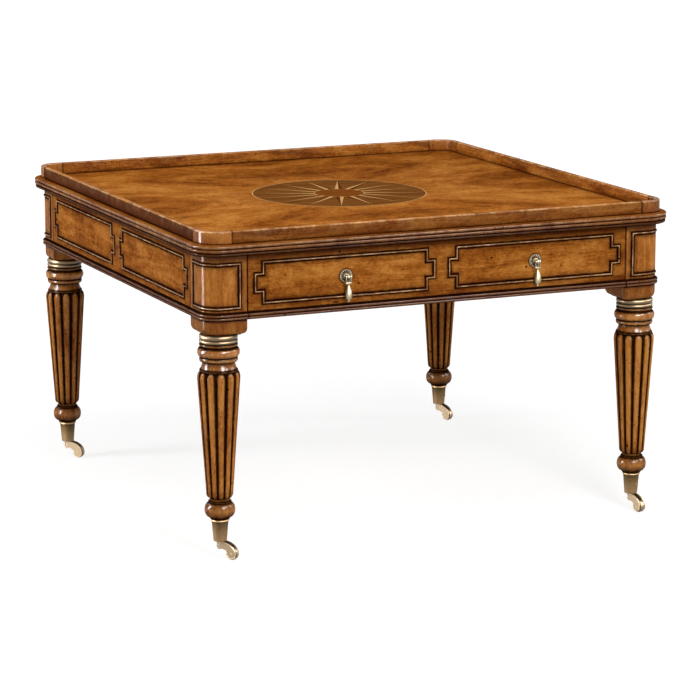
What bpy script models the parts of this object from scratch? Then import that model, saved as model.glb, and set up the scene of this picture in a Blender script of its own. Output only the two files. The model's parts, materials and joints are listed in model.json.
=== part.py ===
"""Square walnut coffee table: gallery top with a compass medallion, moulded frieze, one drawer,
four turned and reeded legs, and brass casters.

Run with: blender --background --python part.py
Lengths are in metres. +Z is up, the floor is z = 0, the origin is below the middle of the top, and
the front of the table, which holds the drawer, faces -Y.
"""

import math

import bmesh
import bpy
from mathutils import Matrix, Vector

# Fits
SEAT_GAP = 0.0003
DRAWER_GAP = 0.001
WHEEL_SIDE_GAP = 0.0004
CUT_OVERRUN = 0.002
WELD_DISTANCE = 0.000001

# Caster
WHEEL_DIAMETER = 0.020
WHEEL_WIDTH = 0.0077
WHEEL_CHAMFER = 0.0010
WHEEL_SETBACK = 0.0075
AXLE_RADIUS = 0.0020
CHEEK_THICKNESS = 0.0025
CHEEK_RADIUS = 0.0085
HORN_RISE = 0.010
HUB_HEIGHT = 0.0106
HUB_RADIUS = 0.0060
HORN_THICKNESS = 0.0090
PIN_RADIUS = 0.0030
PIN_HEAD_RADIUS = 0.0045
PIN_HEAD_HEIGHT = 0.0026
CUP_HEIGHT = 0.0367
CUP_BOTTOM_RADIUS = 0.0116
CUP_TOP_RADIUS = 0.0136
CUP_LIP_RADIUS = 0.0151
CUP_LIP_HEIGHT = 0.0032
CUP_WALL = 0.0015
CUP_FLOOR = 0.0035

# Turned and reeded leg, from the cup upwards
FOOT_RING_HEIGHT = 0.0036
FOOT_RING_ROOT = 0.0148
FOOT_RING_RADIUS = 0.0164
BUN_HEIGHT = 0.0247
BUN_ROOT = 0.0168
BUN_RADIUS = 0.0252
ANKLE_HEIGHT = 0.0075
ANKLE_RADIUS = 0.0170
SHAFT_LENGTH = 0.2121
SHAFT_FOOT_RADIUS = 0.0220
SHAFT_HEAD_RADIUS = 0.0351
SHAFT_NECK_RADIUS = 0.0262
SHAFT_TOP_RADIUS = 0.0274
REED_FOOT_HEIGHT = 0.0070
REED_HEAD_HEIGHT = 0.0110
REED_COUNT = 12
REED_GROOVE_SHARE = 0.115
FILLET_HEIGHT = 0.0016
FILLET_RADIUS = 0.0282
NECK_HEIGHT = 0.0129
SMALL_RING_HEIGHT = 0.0077
SMALL_RING_ROOT = 0.0295
SMALL_RING_RADIUS = 0.0314
BEAD_HEIGHT = 0.0156
BEAD_ROOT = 0.0306
BEAD_RADIUS = 0.0345
WOOD_RING_HEIGHT = 0.0070
WOOD_RING_ROOT = 0.0300
WOOD_RING_RADIUS = 0.0315
SPIGOT_RADIUS = 0.0240
COLLAR_HEIGHT = 0.0146
COLLAR_ROOT = 0.0292
COLLAR_RADIUS = 0.0315
TENON_RADIUS = 0.0125
TENON_LENGTH = 0.028

# Frieze and corner posts
BODY_WIDTH = 0.830
POST_WIDTH = 0.070
LEG_SETBACK = 0.033
POST_CORNER_RADIUS = 0.030
POST_COVE_HEIGHT = 0.0065
POST_COVE_DEPTH = 0.0050
POST_COVE_STEP = 0.0010
BLOCK_HEIGHT = 0.0186
BAND_HEIGHT = 0.0114
BAND_PROUD = 0.0045
BAND_QUIRK_DEPTH = 0.0024
BAND_EASE = 0.0004
FRIEZE_HEIGHT = 0.0945
APRON_THICKNESS = 0.018
RAIL_TOP_HEIGHT = 0.018

# Raised beads of the panels and of the posts
TRIM_WIDTH = 0.0032
TRIM_PROUD = 0.0022
TRIM_ROOT = 0.0010
TRIM_SHOULDER_SHARE = 0.35
PANEL_LOW_MARGIN = 0.0137
PANEL_HIGH_MARGIN = 0.0148
PANEL_END_MARGIN = 0.0140
PANEL_MIDDLE_GAP = 0.0270
PANEL_NOTCH_LENGTH = 0.0138
PANEL_NOTCH_HEIGHT = 0.0188
POST_TRIM_MARGIN = 0.0125
POST_TRIM_LOW_MARGIN = 0.0085
POST_TRIM_LEAD_DEGREES = 3

# Top and gallery
TOP_THICKNESS = 0.0185
TOP_OVERHANG = 0.0170
EDGE_REEDS = 3
EDGE_QUIRK_DEPTH = 0.0030
GALLERY_SETBACK = 0.0125
GALLERY_THICKNESS = 0.0085
GALLERY_HEIGHT = 0.0208
GALLERY_ROUNDING = 0.0022
GALLERY_CORNER_STRAIGHT = 0.013
GALLERY_CORNER_PROUD = 0.0008
MEDALLION_RADIUS = 0.155
MEDALLION_THICKNESS = 0.0012

# Drawer and what carries it
DRAWER_DEPTH = 0.600
DRAWER_FRONT_THICKNESS = 0.020
DRAWER_SIDE_THICKNESS = 0.012
DRAWER_SIDE_HEIGHT = 0.070
DRAWER_BACK_DROP = 0.005
DRAWER_BOTTOM_THICKNESS = 0.006
DRAWER_BOTTOM_RISE = 0.006
GROOVE_DEPTH = 0.006
RUNNER_THICKNESS = 0.010
RUNNER_LEDGE = 0.026
GUIDE_HEIGHT = 0.024
GUIDE_THICKNESS = 0.014

# Drop pulls
ROSETTE_RADIUS = 0.0113
ROSETTE_EDGE = 0.0010
ROSETTE_DOME = 0.0026
ROSETTE_HOLLOW = 0.0008
ROSETTE_PETALS = 12
ROSETTE_PETAL_SHARE = 0.06
SHANK_RADIUS = 0.0020
KNOB_RADIUS = 0.0030
KNOB_REACH = 0.0135
KNOB_ROUNDING = 0.0012
NUT_RADIUS = 0.0042
NUT_THICKNESS = 0.0030
SHANK_TAIL = 0.0010
DROP_AXIS_REACH = 0.0100
DROP_PIN_RADIUS = 0.0009
DROP_EYE_RADIUS = 0.0022
DROP_ARM_THICKNESS = 0.0014
DROP_ARM_SHARE = 0.8
DROP_ARM_LENGTH = 0.0092
DROP_BAR_HEIGHT = 0.0028
DROP_BAR_PROUD = 0.0007
TEAR_LENGTH = 0.0260
TEAR_NECK_RADIUS = 0.0034
TEAR_RADIUS = 0.0061
TEAR_TIP_RADIUS = 0.0015
TEAR_WIDEST_SHARE = 0.75
DROP_BALL_RADIUS = 0.0018

# Numbers of facets
TURNED_SIDES = 16
SMALL_SIDES = 10
PIN_SIDES = 12
WHEEL_SIDES = 20
MEDALLION_SIDES = 40
CORNER_STEPS = 5

# Corners of the table with their quarter turns, and how far each caster is turned at rest
CORNERS = {"front_left": 0, "front_right": 1, "back_right": 2, "back_left": 3}
SIDES = {"front": 0, "right": 1, "back": 2, "left": 3}
CASTER_DEGREES = {"front_left": -47, "front_right": -77, "back_right": -64, "back_left": -43}

# Levels above the floor
AXLE_LEVEL = WHEEL_DIAMETER / 2
CUP_LEVEL = WHEEL_DIAMETER + HORN_RISE
CUP_TOP = CUP_LEVEL + CUP_HEIGHT
FOOT_LEVEL = CUP_TOP + SEAT_GAP
BUN_LEVEL = FOOT_LEVEL + FOOT_RING_HEIGHT
ANKLE_LEVEL = BUN_LEVEL + BUN_HEIGHT
SHAFT_LEVEL = ANKLE_LEVEL + ANKLE_HEIGHT
SHAFT_TOP = SHAFT_LEVEL + SHAFT_LENGTH
NECK_LEVEL = SHAFT_TOP + FILLET_HEIGHT
SMALL_RING_LEVEL = NECK_LEVEL + NECK_HEIGHT
BEAD_LEVEL = SMALL_RING_LEVEL + SMALL_RING_HEIGHT
WOOD_RING_LEVEL = BEAD_LEVEL + BEAD_HEIGHT
SPIGOT_LEVEL = WOOD_RING_LEVEL + WOOD_RING_HEIGHT
SPIGOT_TOP = SPIGOT_LEVEL + COLLAR_HEIGHT
POST_LEVEL = SPIGOT_TOP + SEAT_GAP
BLOCK_LEVEL = POST_LEVEL + POST_COVE_HEIGHT
BAND_LEVEL = BLOCK_LEVEL + BLOCK_HEIGHT
FRIEZE_LEVEL = BAND_LEVEL + BAND_HEIGHT
TOP_LEVEL = FRIEZE_LEVEL + FRIEZE_HEIGHT
TABLE_LEVEL = TOP_LEVEL + TOP_THICKNESS
FRIEZE_TOP = TOP_LEVEL - SEAT_GAP

# Places in plan
BODY_HALF = BODY_WIDTH / 2
LEG_REACH = BODY_HALF - LEG_SETBACK
POST_REACH = BODY_HALF - POST_WIDTH / 2
POST_INSIDE = BODY_HALF - POST_WIDTH
BAY_HALF = POST_INSIDE - SEAT_GAP
CORNER_CENTRE = BODY_HALF - POST_CORNER_RADIUS
TOP_HALF = BODY_HALF + TOP_OVERHANG
GALLERY_HALF = TOP_HALF - GALLERY_SETBACK
APRON_INSIDE = BODY_HALF - APRON_THICKNESS

# Caster places
TRAIL = PIN_HEAD_RADIUS + WHEEL_SETBACK + WHEEL_DIAMETER / 2
CHEEK_INSIDE = WHEEL_WIDTH / 2 + WHEEL_SIDE_GAP
CHEEK_OUTSIDE = CHEEK_INSIDE + CHEEK_THICKNESS
HUB_TOP = CUP_LEVEL - SEAT_GAP
HUB_LEVEL = HUB_TOP - HUB_HEIGHT

# Drawer places
FRONT_HALF = POST_INSIDE - DRAWER_GAP
FRONT_LEVEL = FRIEZE_LEVEL + DRAWER_GAP
FRONT_TOP = TOP_LEVEL - DRAWER_GAP
FRONT_INSIDE = BODY_HALF - DRAWER_FRONT_THICKNESS
BOX_OUTSIDE = FRONT_HALF - DRAWER_GAP
BOX_INSIDE = BOX_OUTSIDE - DRAWER_SIDE_THICKNESS
BOX_LEVEL = FRIEZE_LEVEL + SEAT_GAP
BOX_TOP = BOX_LEVEL + DRAWER_SIDE_HEIGHT
BOTTOM_LEVEL = BOX_LEVEL + DRAWER_BOTTOM_RISE
BOTTOM_TOP = BOTTOM_LEVEL + DRAWER_BOTTOM_THICKNESS
DRAWER_BACK = DRAWER_DEPTH - BODY_HALF

# Panels and pulls
PANEL_LOW = FRIEZE_LEVEL + PANEL_LOW_MARGIN
PANEL_HIGH = TOP_LEVEL - PANEL_HIGH_MARGIN
PANEL_MIDDLE = (PANEL_LOW + PANEL_HIGH) / 2
PANEL_NEAR = PANEL_MIDDLE_GAP / 2
PANEL_FAR = POST_INSIDE - PANEL_END_MARGIN
PULL_REACH = (PANEL_NEAR + PANEL_FAR) / 2


def clear_scene():
    """Removes whatever the scene already holds."""
    for thing in list(bpy.data.objects):
        bpy.data.objects.remove(thing)


def finish(name, colour, roughness, metallic):
    """A plain surface finish."""
    material = bpy.data.materials.new(name)
    material.use_nodes = True
    shader = material.node_tree.nodes["Principled BSDF"]
    shader.inputs["Base Color"].default_value = (*colour, 1)
    shader.inputs["Roughness"].default_value = roughness
    shader.inputs["Metallic"].default_value = metallic
    return material


def mesh_of(bm):
    """A mesh with its doubles merged and its faces turned outwards."""
    bmesh.ops.remove_doubles(bm, verts=bm.verts, dist=WELD_DISTANCE)
    bmesh.ops.recalc_face_normals(bm, faces=bm.faces)
    mesh = bpy.data.meshes.new("shape")
    bm.to_mesh(mesh)
    bm.free()
    return mesh


def place(name, mesh, material, location=(0, 0, 0), turn=0.0, parent=None):
    """An object of its own for one piece, turned about +Z in radians."""
    piece = bpy.data.objects.new(name, mesh)
    bpy.context.scene.collection.objects.link(piece)
    if not mesh.materials:
        mesh.materials.append(material)
        mesh.shade_smooth()
        mesh.set_sharp_from_angle(angle=math.radians(35))
    piece.location = location
    piece.rotation_euler.z = turn
    piece.parent = parent
    return piece


def empty(name, location, turn=0.0):
    """A bare frame that pieces hang on."""
    frame = bpy.data.objects.new(name, None)
    bpy.context.scene.collection.objects.link(frame)
    frame.location = location
    frame.rotation_euler.z = turn
    return frame


def combined(first, others, operation):
    """The first mesh with the others joined to it or cut from it."""
    body = bpy.data.objects.new("body", first)
    bpy.context.scene.collection.objects.link(body)
    tools = []
    for mesh in others:
        tool = bpy.data.objects.new("tool", mesh)
        bpy.context.scene.collection.objects.link(tool)
        modifier = body.modifiers.new("shape", "BOOLEAN")
        modifier.operation = operation
        modifier.object = tool
        tools.append(tool)
    graph = bpy.context.evaluated_depsgraph_get()
    result = bpy.data.meshes.new_from_object(body.evaluated_get(graph))
    for helper in [body, *tools]:
        bpy.data.objects.remove(helper)
    return result


def carry(bm, loop, places):
    """Extrudes a closed loop of verts and sets the new loop down at the given places."""
    edges = []
    for start, end in zip(loop, loop[1:] + loop[:1]):
        edges.append(bm.edges.get((start, end)) or bm.edges.new((start, end)))
    made = bmesh.ops.extrude_edge_only(bm, edges=edges)["geom"]
    fresh = {item for item in made if isinstance(item, bmesh.types.BMVert)}
    following = []
    for vert in loop:
        following.append(next(e.other_vert(vert) for e in vert.link_edges if e.other_vert(vert) in fresh))
    for vert, point in zip(following, places):
        vert.co = point
    return following


def solid_through(loops):
    """A closed solid through loops of points, with flat ends."""
    bm = bmesh.new()
    loop = [bm.verts.new(point) for point in loops[0]]
    bm.faces.new(loop)
    for places in loops[1:]:
        loop = carry(bm, loop, places)
    bm.faces.new(loop)
    return mesh_of(bm)


def ring_through(loops):
    """A closed frame: each loop leads to the next, and the last back to the first."""
    bm = bmesh.new()
    loop = [bm.verts.new(point) for point in loops[0]]
    for places in loops[1:] + loops[:1]:
        loop = carry(bm, loop, places)
    return mesh_of(bm)


def box(low, high):
    """A box between two corners."""
    x0, y0, z0 = low
    x1, y1, z1 = high
    plan = [(x0, y0), (x1, y0), (x1, y1), (x0, y1)]
    return solid_through([[(x, y, z) for x, y in plan] for z in (z0, z1)])


def turned(outline, sides, closed=False):
    """A solid turned about Z from an outline of (radius, height)."""
    bm = bmesh.new()
    points = [bm.verts.new((radius, 0, height)) for radius, height in outline]
    following = points[1:] + points[:1] if closed else points[1:]
    edges = [bm.edges.new(pair) for pair in zip(points, following)]
    bmesh.ops.spin(
        bm,
        geom=points + edges,
        axis=(0, 0, 1),
        cent=(0, 0, 0),
        angle=math.tau,
        steps=sides,
        use_merge=True,
    )
    return mesh_of(bm)


def rod(radius, start, end, sides):
    """A round rod from one height to another."""
    return turned([(0, start), (radius, start), (radius, end), (0, end)], sides)


def laid(mesh, axis, offset=(0, 0, 0)):
    """A mesh made about Z, laid over so that its top points to +X or -Y, and then moved."""
    across = {"+X": ((0, 0, 1), (0, 1, 0), (-1, 0, 0)), "-Y": ((1, 0, 0), (0, 0, -1), (0, 1, 0))}
    bm = bmesh.new()
    bm.from_mesh(mesh)
    for vert in bm.verts:
        turned_place = Vector([Vector(row).dot(vert.co) for row in across[axis]])
        vert.co = turned_place + Vector(offset)
    return mesh_of(bm)


def bulge(low, high, root, crest, steps=4):
    """Points of a half-round ring as (radius, height), from low to high."""
    points = []
    for step in range(steps + 1):
        angle = math.pi * step / steps
        height = low + (high - low) * (1 - math.cos(angle)) / 2
        points.append((root + (crest - root) * math.sin(angle), height))
    return points


def hollow(low, high, start, waist, end, steps=4):
    """Points of a hollow as (radius, height): in from start to the waist, and out again to end."""
    points = []
    for step in range(steps + 1):
        share = step / steps
        side = start if 2 * step < steps else end
        radius = waist + (side - waist) * (1 - math.sin(math.pi * share))
        points.append((radius, low + (high - low) * share))
    return points


def arc(centre, radius, start, end, steps=CORNER_STEPS):
    """Points of an arc, with its angles in degrees."""
    points = []
    for step in range(steps + 1):
        angle = math.radians(start + (end - start) * step / steps)
        points.append((centre[0] + radius * math.cos(angle), centre[1] + radius * math.sin(angle)))
    return points


def reeded_band(low, height, proud, quirk, count):
    """Points of reeds one above the other, as (proud, height), from low upwards."""
    points = []
    for reed in range(count):
        start = low + height * reed / count
        points.extend(bulge(start, start + height / count, proud - quirk, proud)[:-1])
    points.append((proud - quirk, low + height))
    return points


def frieze_band():
    """Points of the double reed round the frieze's foot, as (proud, height), from the face and back."""
    height = BAND_HEIGHT - 2 * BAND_EASE
    reeds = reeded_band(BAND_LEVEL + BAND_EASE, height, BAND_PROUD, BAND_QUIRK_DEPTH, 2)
    return [(0, BAND_LEVEL), *reeds, (0, FRIEZE_LEVEL)]


def offset_loop(loop, distance):
    """A closed plane loop, drawn anticlockwise, moved outwards by a distance with mitred corners."""
    moved = []
    for before, here, after in zip(loop[-1:] + loop[:-1], loop, loop[1:] + loop[:1]):
        first = (Vector(here) - Vector(before)).normalized()
        second = (Vector(after) - Vector(here)).normalized()
        bisector = Vector((first.y, -first.x)) + Vector((second.y, -second.x))
        moved.append(Vector(here) + bisector * distance / (1 + first.dot(second)))
    return [(point.x, point.y) for point in moved]


def trim_section():
    """The section of a raised bead, as (inwards, proud)."""
    half = TRIM_WIDTH / 2
    return [
        (-half, -TRIM_ROOT),
        (half, -TRIM_ROOT),
        (half, TRIM_PROUD * TRIM_SHOULDER_SHARE),
        (0, TRIM_PROUD),
        (-half, TRIM_PROUD * TRIM_SHOULDER_SHARE),
    ]


def panel_trim(middle):
    """The raised bead of one panel on the face at -Y, with a notch at each corner."""
    near = PANEL_NEAR
    far = PANEL_FAR
    low = PANEL_LOW
    high = PANEL_HIGH
    step = PANEL_NOTCH_LENGTH
    rise = PANEL_NOTCH_HEIGHT
    right = [
        (far - step, low),
        (far - step, low + rise),
        (far, low + rise),
        (far, high - rise),
        (far - step, high - rise),
        (far - step, high),
    ]
    left = [(near + far - x, z) for x, z in reversed(right)]
    outline = [(middle * x, z) for x, z in left + right]
    if middle < 0:
        outline.reverse()
    loops = []
    for inwards, proud in trim_section():
        loops.append([(x, -BODY_HALF - proud, z) for x, z in offset_loop(outline, -inwards)])
    return ring_through(loops)


def post_trim():
    """The raised bead round the two outer faces of a post, which bends round its corner."""
    half = POST_WIDTH / 2
    centre = POST_CORNER_RADIUS - half
    low = FRIEZE_LEVEL + POST_TRIM_LOW_MARGIN
    start = 180 - POST_TRIM_LEAD_DEGREES
    loops = []
    for inwards, proud in trim_section():
        end = half - POST_TRIM_MARGIN - inwards
        reach = POST_CORNER_RADIUS + proud
        corner = arc((centre, centre), reach, start, 450 - start, CORNER_STEPS + 1)
        run = [(-half - proud, end), *corner, (end, -half - proud)]
        upper = [(x, y, PANEL_HIGH - inwards) for x, y in run]
        lower = [(x, y, low + inwards) for x, y in reversed(run)]
        loops.append(upper + lower)
    return ring_through(loops)


def post_plan(outer, inner, level):
    """A post's outline with its two outer faces and its two inner faces moved outwards."""
    half = POST_WIDTH / 2
    centre = POST_CORNER_RADIUS - half
    front = -half - outer
    back = half + inner
    corner = arc((centre, centre), POST_CORNER_RADIUS + outer, 180, 270)
    return [(x, y, level) for x, y in [(back, front), (back, back), (front, back), *corner]]


def corner_post():
    """A post with a coved block, a double reed and a bead frame, and a socket for the leg."""
    levels = []
    steps = 3
    straight = POST_COVE_DEPTH - POST_COVE_STEP
    for step in range(steps + 1):
        angle = math.pi / 2 * step / steps
        inset = POST_COVE_DEPTH - straight * (1 - math.cos(angle))
        levels.append(post_plan(-inset, -inset, POST_LEVEL + POST_COVE_HEIGHT * math.sin(angle)))
    levels.append(post_plan(0, 0, BLOCK_LEVEL))
    for proud, level in frieze_band():
        levels.append(post_plan(proud, 0, level))
    levels.append(post_plan(0, 0, FRIEZE_TOP))
    post = combined(solid_through(levels), [post_trim()], "UNION")
    socket_top = SPIGOT_TOP + TENON_LENGTH + SEAT_GAP
    socket = rod(TENON_RADIUS + SEAT_GAP, POST_LEVEL - CUT_OVERRUN, socket_top, TURNED_SIDES)
    outwards = POST_REACH - LEG_REACH
    socket.transform(Matrix.Translation((outwards, outwards, 0)))
    return combined(post, [socket], "DIFFERENCE")


def leg_shaft():
    """The tapered shaft, reeded all round, with rounded reed ends."""
    levels = []
    taper = SHAFT_HEAD_RADIUS - SHAFT_FOOT_RADIUS
    for step in range(3):
        share = 1 - math.cos(math.pi / 4 * step)
        curve = math.sin(math.pi / 4 * step)
        radius = ANKLE_RADIUS + (SHAFT_FOOT_RADIUS - ANKLE_RADIUS) * curve
        levels.append((SHAFT_LEVEL + REED_FOOT_HEIGHT * share, radius, radius * REED_GROOVE_SHARE * share))
    for step in range(4):
        share = math.sin(math.pi / 6 * step)
        curve = math.cos(math.pi / 6 * step)
        radius = SHAFT_TOP_RADIUS + (SHAFT_FOOT_RADIUS + taper - SHAFT_TOP_RADIUS) * curve
        height = SHAFT_TOP - REED_HEAD_HEIGHT * (1 - share)
        levels.append((height, radius, radius * REED_GROOVE_SHARE * curve))
    loops = []
    points = 3
    for height, radius, groove in levels:
        loop = []
        for index in range(REED_COUNT * points):
            angle = math.tau * index / (REED_COUNT * points)
            along = math.pi * (index % points) / points
            reach = radius - groove * (1 - math.sin(along)) ** 2
            loop.append((reach * math.cos(angle), reach * math.sin(angle), height))
        loops.append(loop)
    return solid_through(loops)


def leg_foot():
    """The turned lower end: toe, foot ring, bun and ankle."""
    inside = SHAFT_LEVEL + REED_FOOT_HEIGHT
    toe_low = CUP_LEVEL + CUP_FLOOR + SEAT_GAP
    outline = [(0, toe_low), (CUP_BOTTOM_RADIUS - CUP_WALL - SEAT_GAP, toe_low)]
    outline += [(CUP_TOP_RADIUS - CUP_WALL - SEAT_GAP, FOOT_LEVEL)]
    outline += bulge(FOOT_LEVEL, BUN_LEVEL, FOOT_RING_ROOT, FOOT_RING_RADIUS)
    outline += bulge(BUN_LEVEL, ANKLE_LEVEL, BUN_ROOT, BUN_RADIUS, 6)
    outline += hollow(ANKLE_LEVEL, SHAFT_LEVEL, BUN_ROOT, ANKLE_RADIUS, ANKLE_RADIUS, 2)[1:]
    outline += [(ANKLE_RADIUS, inside), (0, inside)]
    return turned(outline, TURNED_SIDES)


def leg_head():
    """The turned upper end: neck, rings and bead, the collar's spigot and the tenon."""
    inside = SHAFT_TOP - REED_HEAD_HEIGHT
    outline = [(0, inside), (SHAFT_NECK_RADIUS, inside)]
    outline += [(FILLET_RADIUS, SHAFT_TOP - FILLET_HEIGHT), (FILLET_RADIUS, NECK_LEVEL)]
    outline += hollow(
        NECK_LEVEL, SMALL_RING_LEVEL, SHAFT_TOP_RADIUS, SHAFT_NECK_RADIUS, SMALL_RING_ROOT
    )
    outline += bulge(SMALL_RING_LEVEL, BEAD_LEVEL, SMALL_RING_ROOT, SMALL_RING_RADIUS)[1:]
    outline += bulge(BEAD_LEVEL, WOOD_RING_LEVEL, BEAD_ROOT, BEAD_RADIUS)
    outline += bulge(WOOD_RING_LEVEL, SPIGOT_LEVEL, WOOD_RING_ROOT, WOOD_RING_RADIUS)
    outline += [(SPIGOT_RADIUS, SPIGOT_LEVEL), (SPIGOT_RADIUS, SPIGOT_TOP)]
    outline += [(TENON_RADIUS, SPIGOT_TOP), (TENON_RADIUS, SPIGOT_TOP + TENON_LENGTH)]
    outline += [(0, SPIGOT_TOP + TENON_LENGTH)]
    return turned(outline, TURNED_SIDES)


def leg():
    """One leg, from the toe in the caster cup to the tenon in the post."""
    return combined(leg_shaft(), [leg_foot(), leg_head()], "UNION")


def collar():
    """Two gilt rings in one, slid over the leg's spigot."""
    low = SPIGOT_LEVEL + SEAT_GAP
    inner = SPIGOT_RADIUS + SEAT_GAP
    height = SPIGOT_TOP - low
    outline = [(inner, low)]
    for ring in range(2):
        start = low + height * ring / 2
        outline += bulge(start, start + height / 2, COLLAR_ROOT, COLLAR_RADIUS)[ring:]
    outline += [(inner, SPIGOT_TOP)]
    return turned(outline, TURNED_SIDES, closed=True)


def caster_cup():
    """A tapered socket for the leg's toe, with the headed pin below it that the horn swivels on."""
    head_top = HUB_LEVEL - SEAT_GAP
    outline = [(0, head_top - PIN_HEAD_HEIGHT), (PIN_HEAD_RADIUS, head_top - PIN_HEAD_HEIGHT)]
    outline += [(PIN_HEAD_RADIUS, head_top), (PIN_RADIUS, head_top), (PIN_RADIUS, CUP_LEVEL)]
    outline += [(CUP_BOTTOM_RADIUS, CUP_LEVEL)]
    outline += bulge(CUP_TOP - CUP_LIP_HEIGHT, CUP_TOP, CUP_TOP_RADIUS, CUP_LIP_RADIUS)
    outline += [(CUP_TOP_RADIUS - CUP_WALL, CUP_TOP)]
    outline += [(CUP_BOTTOM_RADIUS - CUP_WALL, CUP_LEVEL + CUP_FLOOR), (0, CUP_LEVEL + CUP_FLOOR)]
    return turned(outline, TURNED_SIDES)


def cheek_outline():
    """A horn cheek seen from the side, as (trail, height): an arched arm that ends in a disc."""
    far = TRAIL + CHEEK_RADIUS
    near = TRAIL - CHEEK_RADIUS
    crown = HUB_RADIUS / 2
    arch = HUB_TOP - HORN_THICKNESS
    points = [(0, arch), (HUB_RADIUS, arch)]
    for step in (1, 2, 3):
        angle = math.pi / 2 * step / 4
        across = HUB_RADIUS + (near - HUB_RADIUS) * math.sin(angle)
        points.append((across, AXLE_LEVEL + (arch - AXLE_LEVEL) * math.cos(angle)))
    points += arc((TRAIL, AXLE_LEVEL), CHEEK_RADIUS, 180, 360, 6)
    for step in (1, 2, 3, 4):
        angle = math.pi / 2 * step / 5
        across = crown + (far - crown) * math.cos(angle)
        points.append((across, AXLE_LEVEL + (HUB_TOP - AXLE_LEVEL) * math.sin(angle)))
    return points + [(crown, HUB_TOP), (0, HUB_TOP)]


def caster_horn():
    """A fork that trails along +X: a hub round the pin, and two cheeks that hold the axle."""
    hub = rod(HUB_RADIUS, HUB_LEVEL, HUB_TOP, SMALL_SIDES)
    outline = cheek_outline()
    shapes = []
    for side in (-1, 1):
        inner = side * CHEEK_INSIDE
        outer = side * CHEEK_OUTSIDE
        shapes.append(solid_through([[(x, y, z) for x, z in outline] for y in (inner, outer)]))
    bridge_low = (0, -CHEEK_INSIDE - CHEEK_THICKNESS / 2, HUB_TOP - HORN_THICKNESS)
    bridge_high = (HUB_RADIUS, CHEEK_INSIDE + CHEEK_THICKNESS / 2, HUB_TOP)
    shapes.append(box(bridge_low, bridge_high))
    horn = combined(hub, shapes, "UNION")
    bore = rod(PIN_RADIUS + SEAT_GAP, HUB_LEVEL - CUT_OVERRUN, HUB_TOP + CUT_OVERRUN, SMALL_SIDES)
    reach = CHEEK_OUTSIDE + CUT_OVERRUN
    eye = laid(rod(AXLE_RADIUS + SEAT_GAP, -reach, reach, SMALL_SIDES), "-Y", (TRAIL, 0, AXLE_LEVEL))
    return combined(horn, [bore, eye], "DIFFERENCE")


def caster_wheel():
    """A plain wheel with eased edges, which turns about Y."""
    outside = WHEEL_DIAMETER / 2
    half = WHEEL_WIDTH / 2
    outline = [
        (AXLE_RADIUS + SEAT_GAP, -half),
        (outside - WHEEL_CHAMFER, -half),
        (outside, WHEEL_CHAMFER - half),
        (outside, half - WHEEL_CHAMFER),
        (outside - WHEEL_CHAMFER, half),
        (AXLE_RADIUS + SEAT_GAP, half),
    ]
    return laid(turned(outline, WHEEL_SIDES, closed=True), "-Y")


def apron():
    """A frieze board with the double reed along its foot and two bead panels, facing -Y."""
    section = [(-APRON_INSIDE, BAND_LEVEL), (-APRON_INSIDE, FRIEZE_TOP), (-BODY_HALF, FRIEZE_TOP)]
    section += [(-BODY_HALF - proud, level) for proud, level in reversed(frieze_band())]
    board = solid_through([[(x, y, z) for y, z in section] for x in (-BAY_HALF, BAY_HALF)])
    return combined(board, [panel_trim(-1), panel_trim(1)], "UNION")


def front_bottom_rail():
    """The rail below the drawer, with the double reed along its edge."""
    section = [(-POST_INSIDE, BAND_LEVEL), (-POST_INSIDE, FRIEZE_LEVEL)]
    section += [(-BODY_HALF - proud, level) for proud, level in reversed(frieze_band())]
    return solid_through([[(x, y, z) for y, z in section] for x in (-BAY_HALF, BAY_HALF)])


def front_top_rail():
    """The rail behind the upper edge of the drawer front."""
    front = -FRONT_INSIDE + DRAWER_GAP
    low = (-BAY_HALF, front, FRIEZE_TOP - RAIL_TOP_HEIGHT)
    return box(low, (BAY_HALF, -POST_INSIDE, FRIEZE_TOP))


def rounded_square(half, radius, level):
    """A square outline with round corners."""
    centre = half - radius
    points = []
    for turn, (x, y) in enumerate([(1, 1), (-1, 1), (-1, -1), (1, -1)]):
        points += arc((x * centre, y * centre), radius, 90 * turn, 90 * turn + 90)
    return [(x, y, level) for x, y in points]


def top_board():
    """The top, with reeds round its edge and a shallow recess for the medallion."""
    loops = []
    for proud, level in reeded_band(TOP_LEVEL, TOP_THICKNESS, TOP_OVERHANG, EDGE_QUIRK_DEPTH, EDGE_REEDS):
        half = BODY_HALF + proud
        loops.append(rounded_square(half, half - CORNER_CENTRE, level))
    floor = TABLE_LEVEL - MEDALLION_THICKNESS - SEAT_GAP
    recess = rod(MEDALLION_RADIUS, floor, TABLE_LEVEL + CUT_OVERRUN, MEDALLION_SIDES)
    return combined(solid_through(loops), [recess], "DIFFERENCE")


def gallery_section(proud):
    """The gallery's upright section, as (inwards from its outer face, height)."""
    low = TABLE_LEVEL + SEAT_GAP
    high = low + GALLERY_HEIGHT
    ease = GALLERY_ROUNDING
    third = ease / 3
    thick = GALLERY_THICKNESS
    return [
        (-proud, low),
        (thick, low),
        (thick, high - ease),
        (thick - third, high - third),
        (thick - ease, high),
        (ease - proud, high),
        (third - proud, high - third),
        (-proud, high - ease),
    ]


def gallery_rail():
    """A straight length of the gallery along the front edge."""
    reach = CORNER_CENTRE - GALLERY_CORNER_STRAIGHT - SEAT_GAP
    section = gallery_section(0)
    return solid_through(
        [[(x, inwards - GALLERY_HALF, z) for inwards, z in section] for x in (-reach, reach)]
    )


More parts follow.
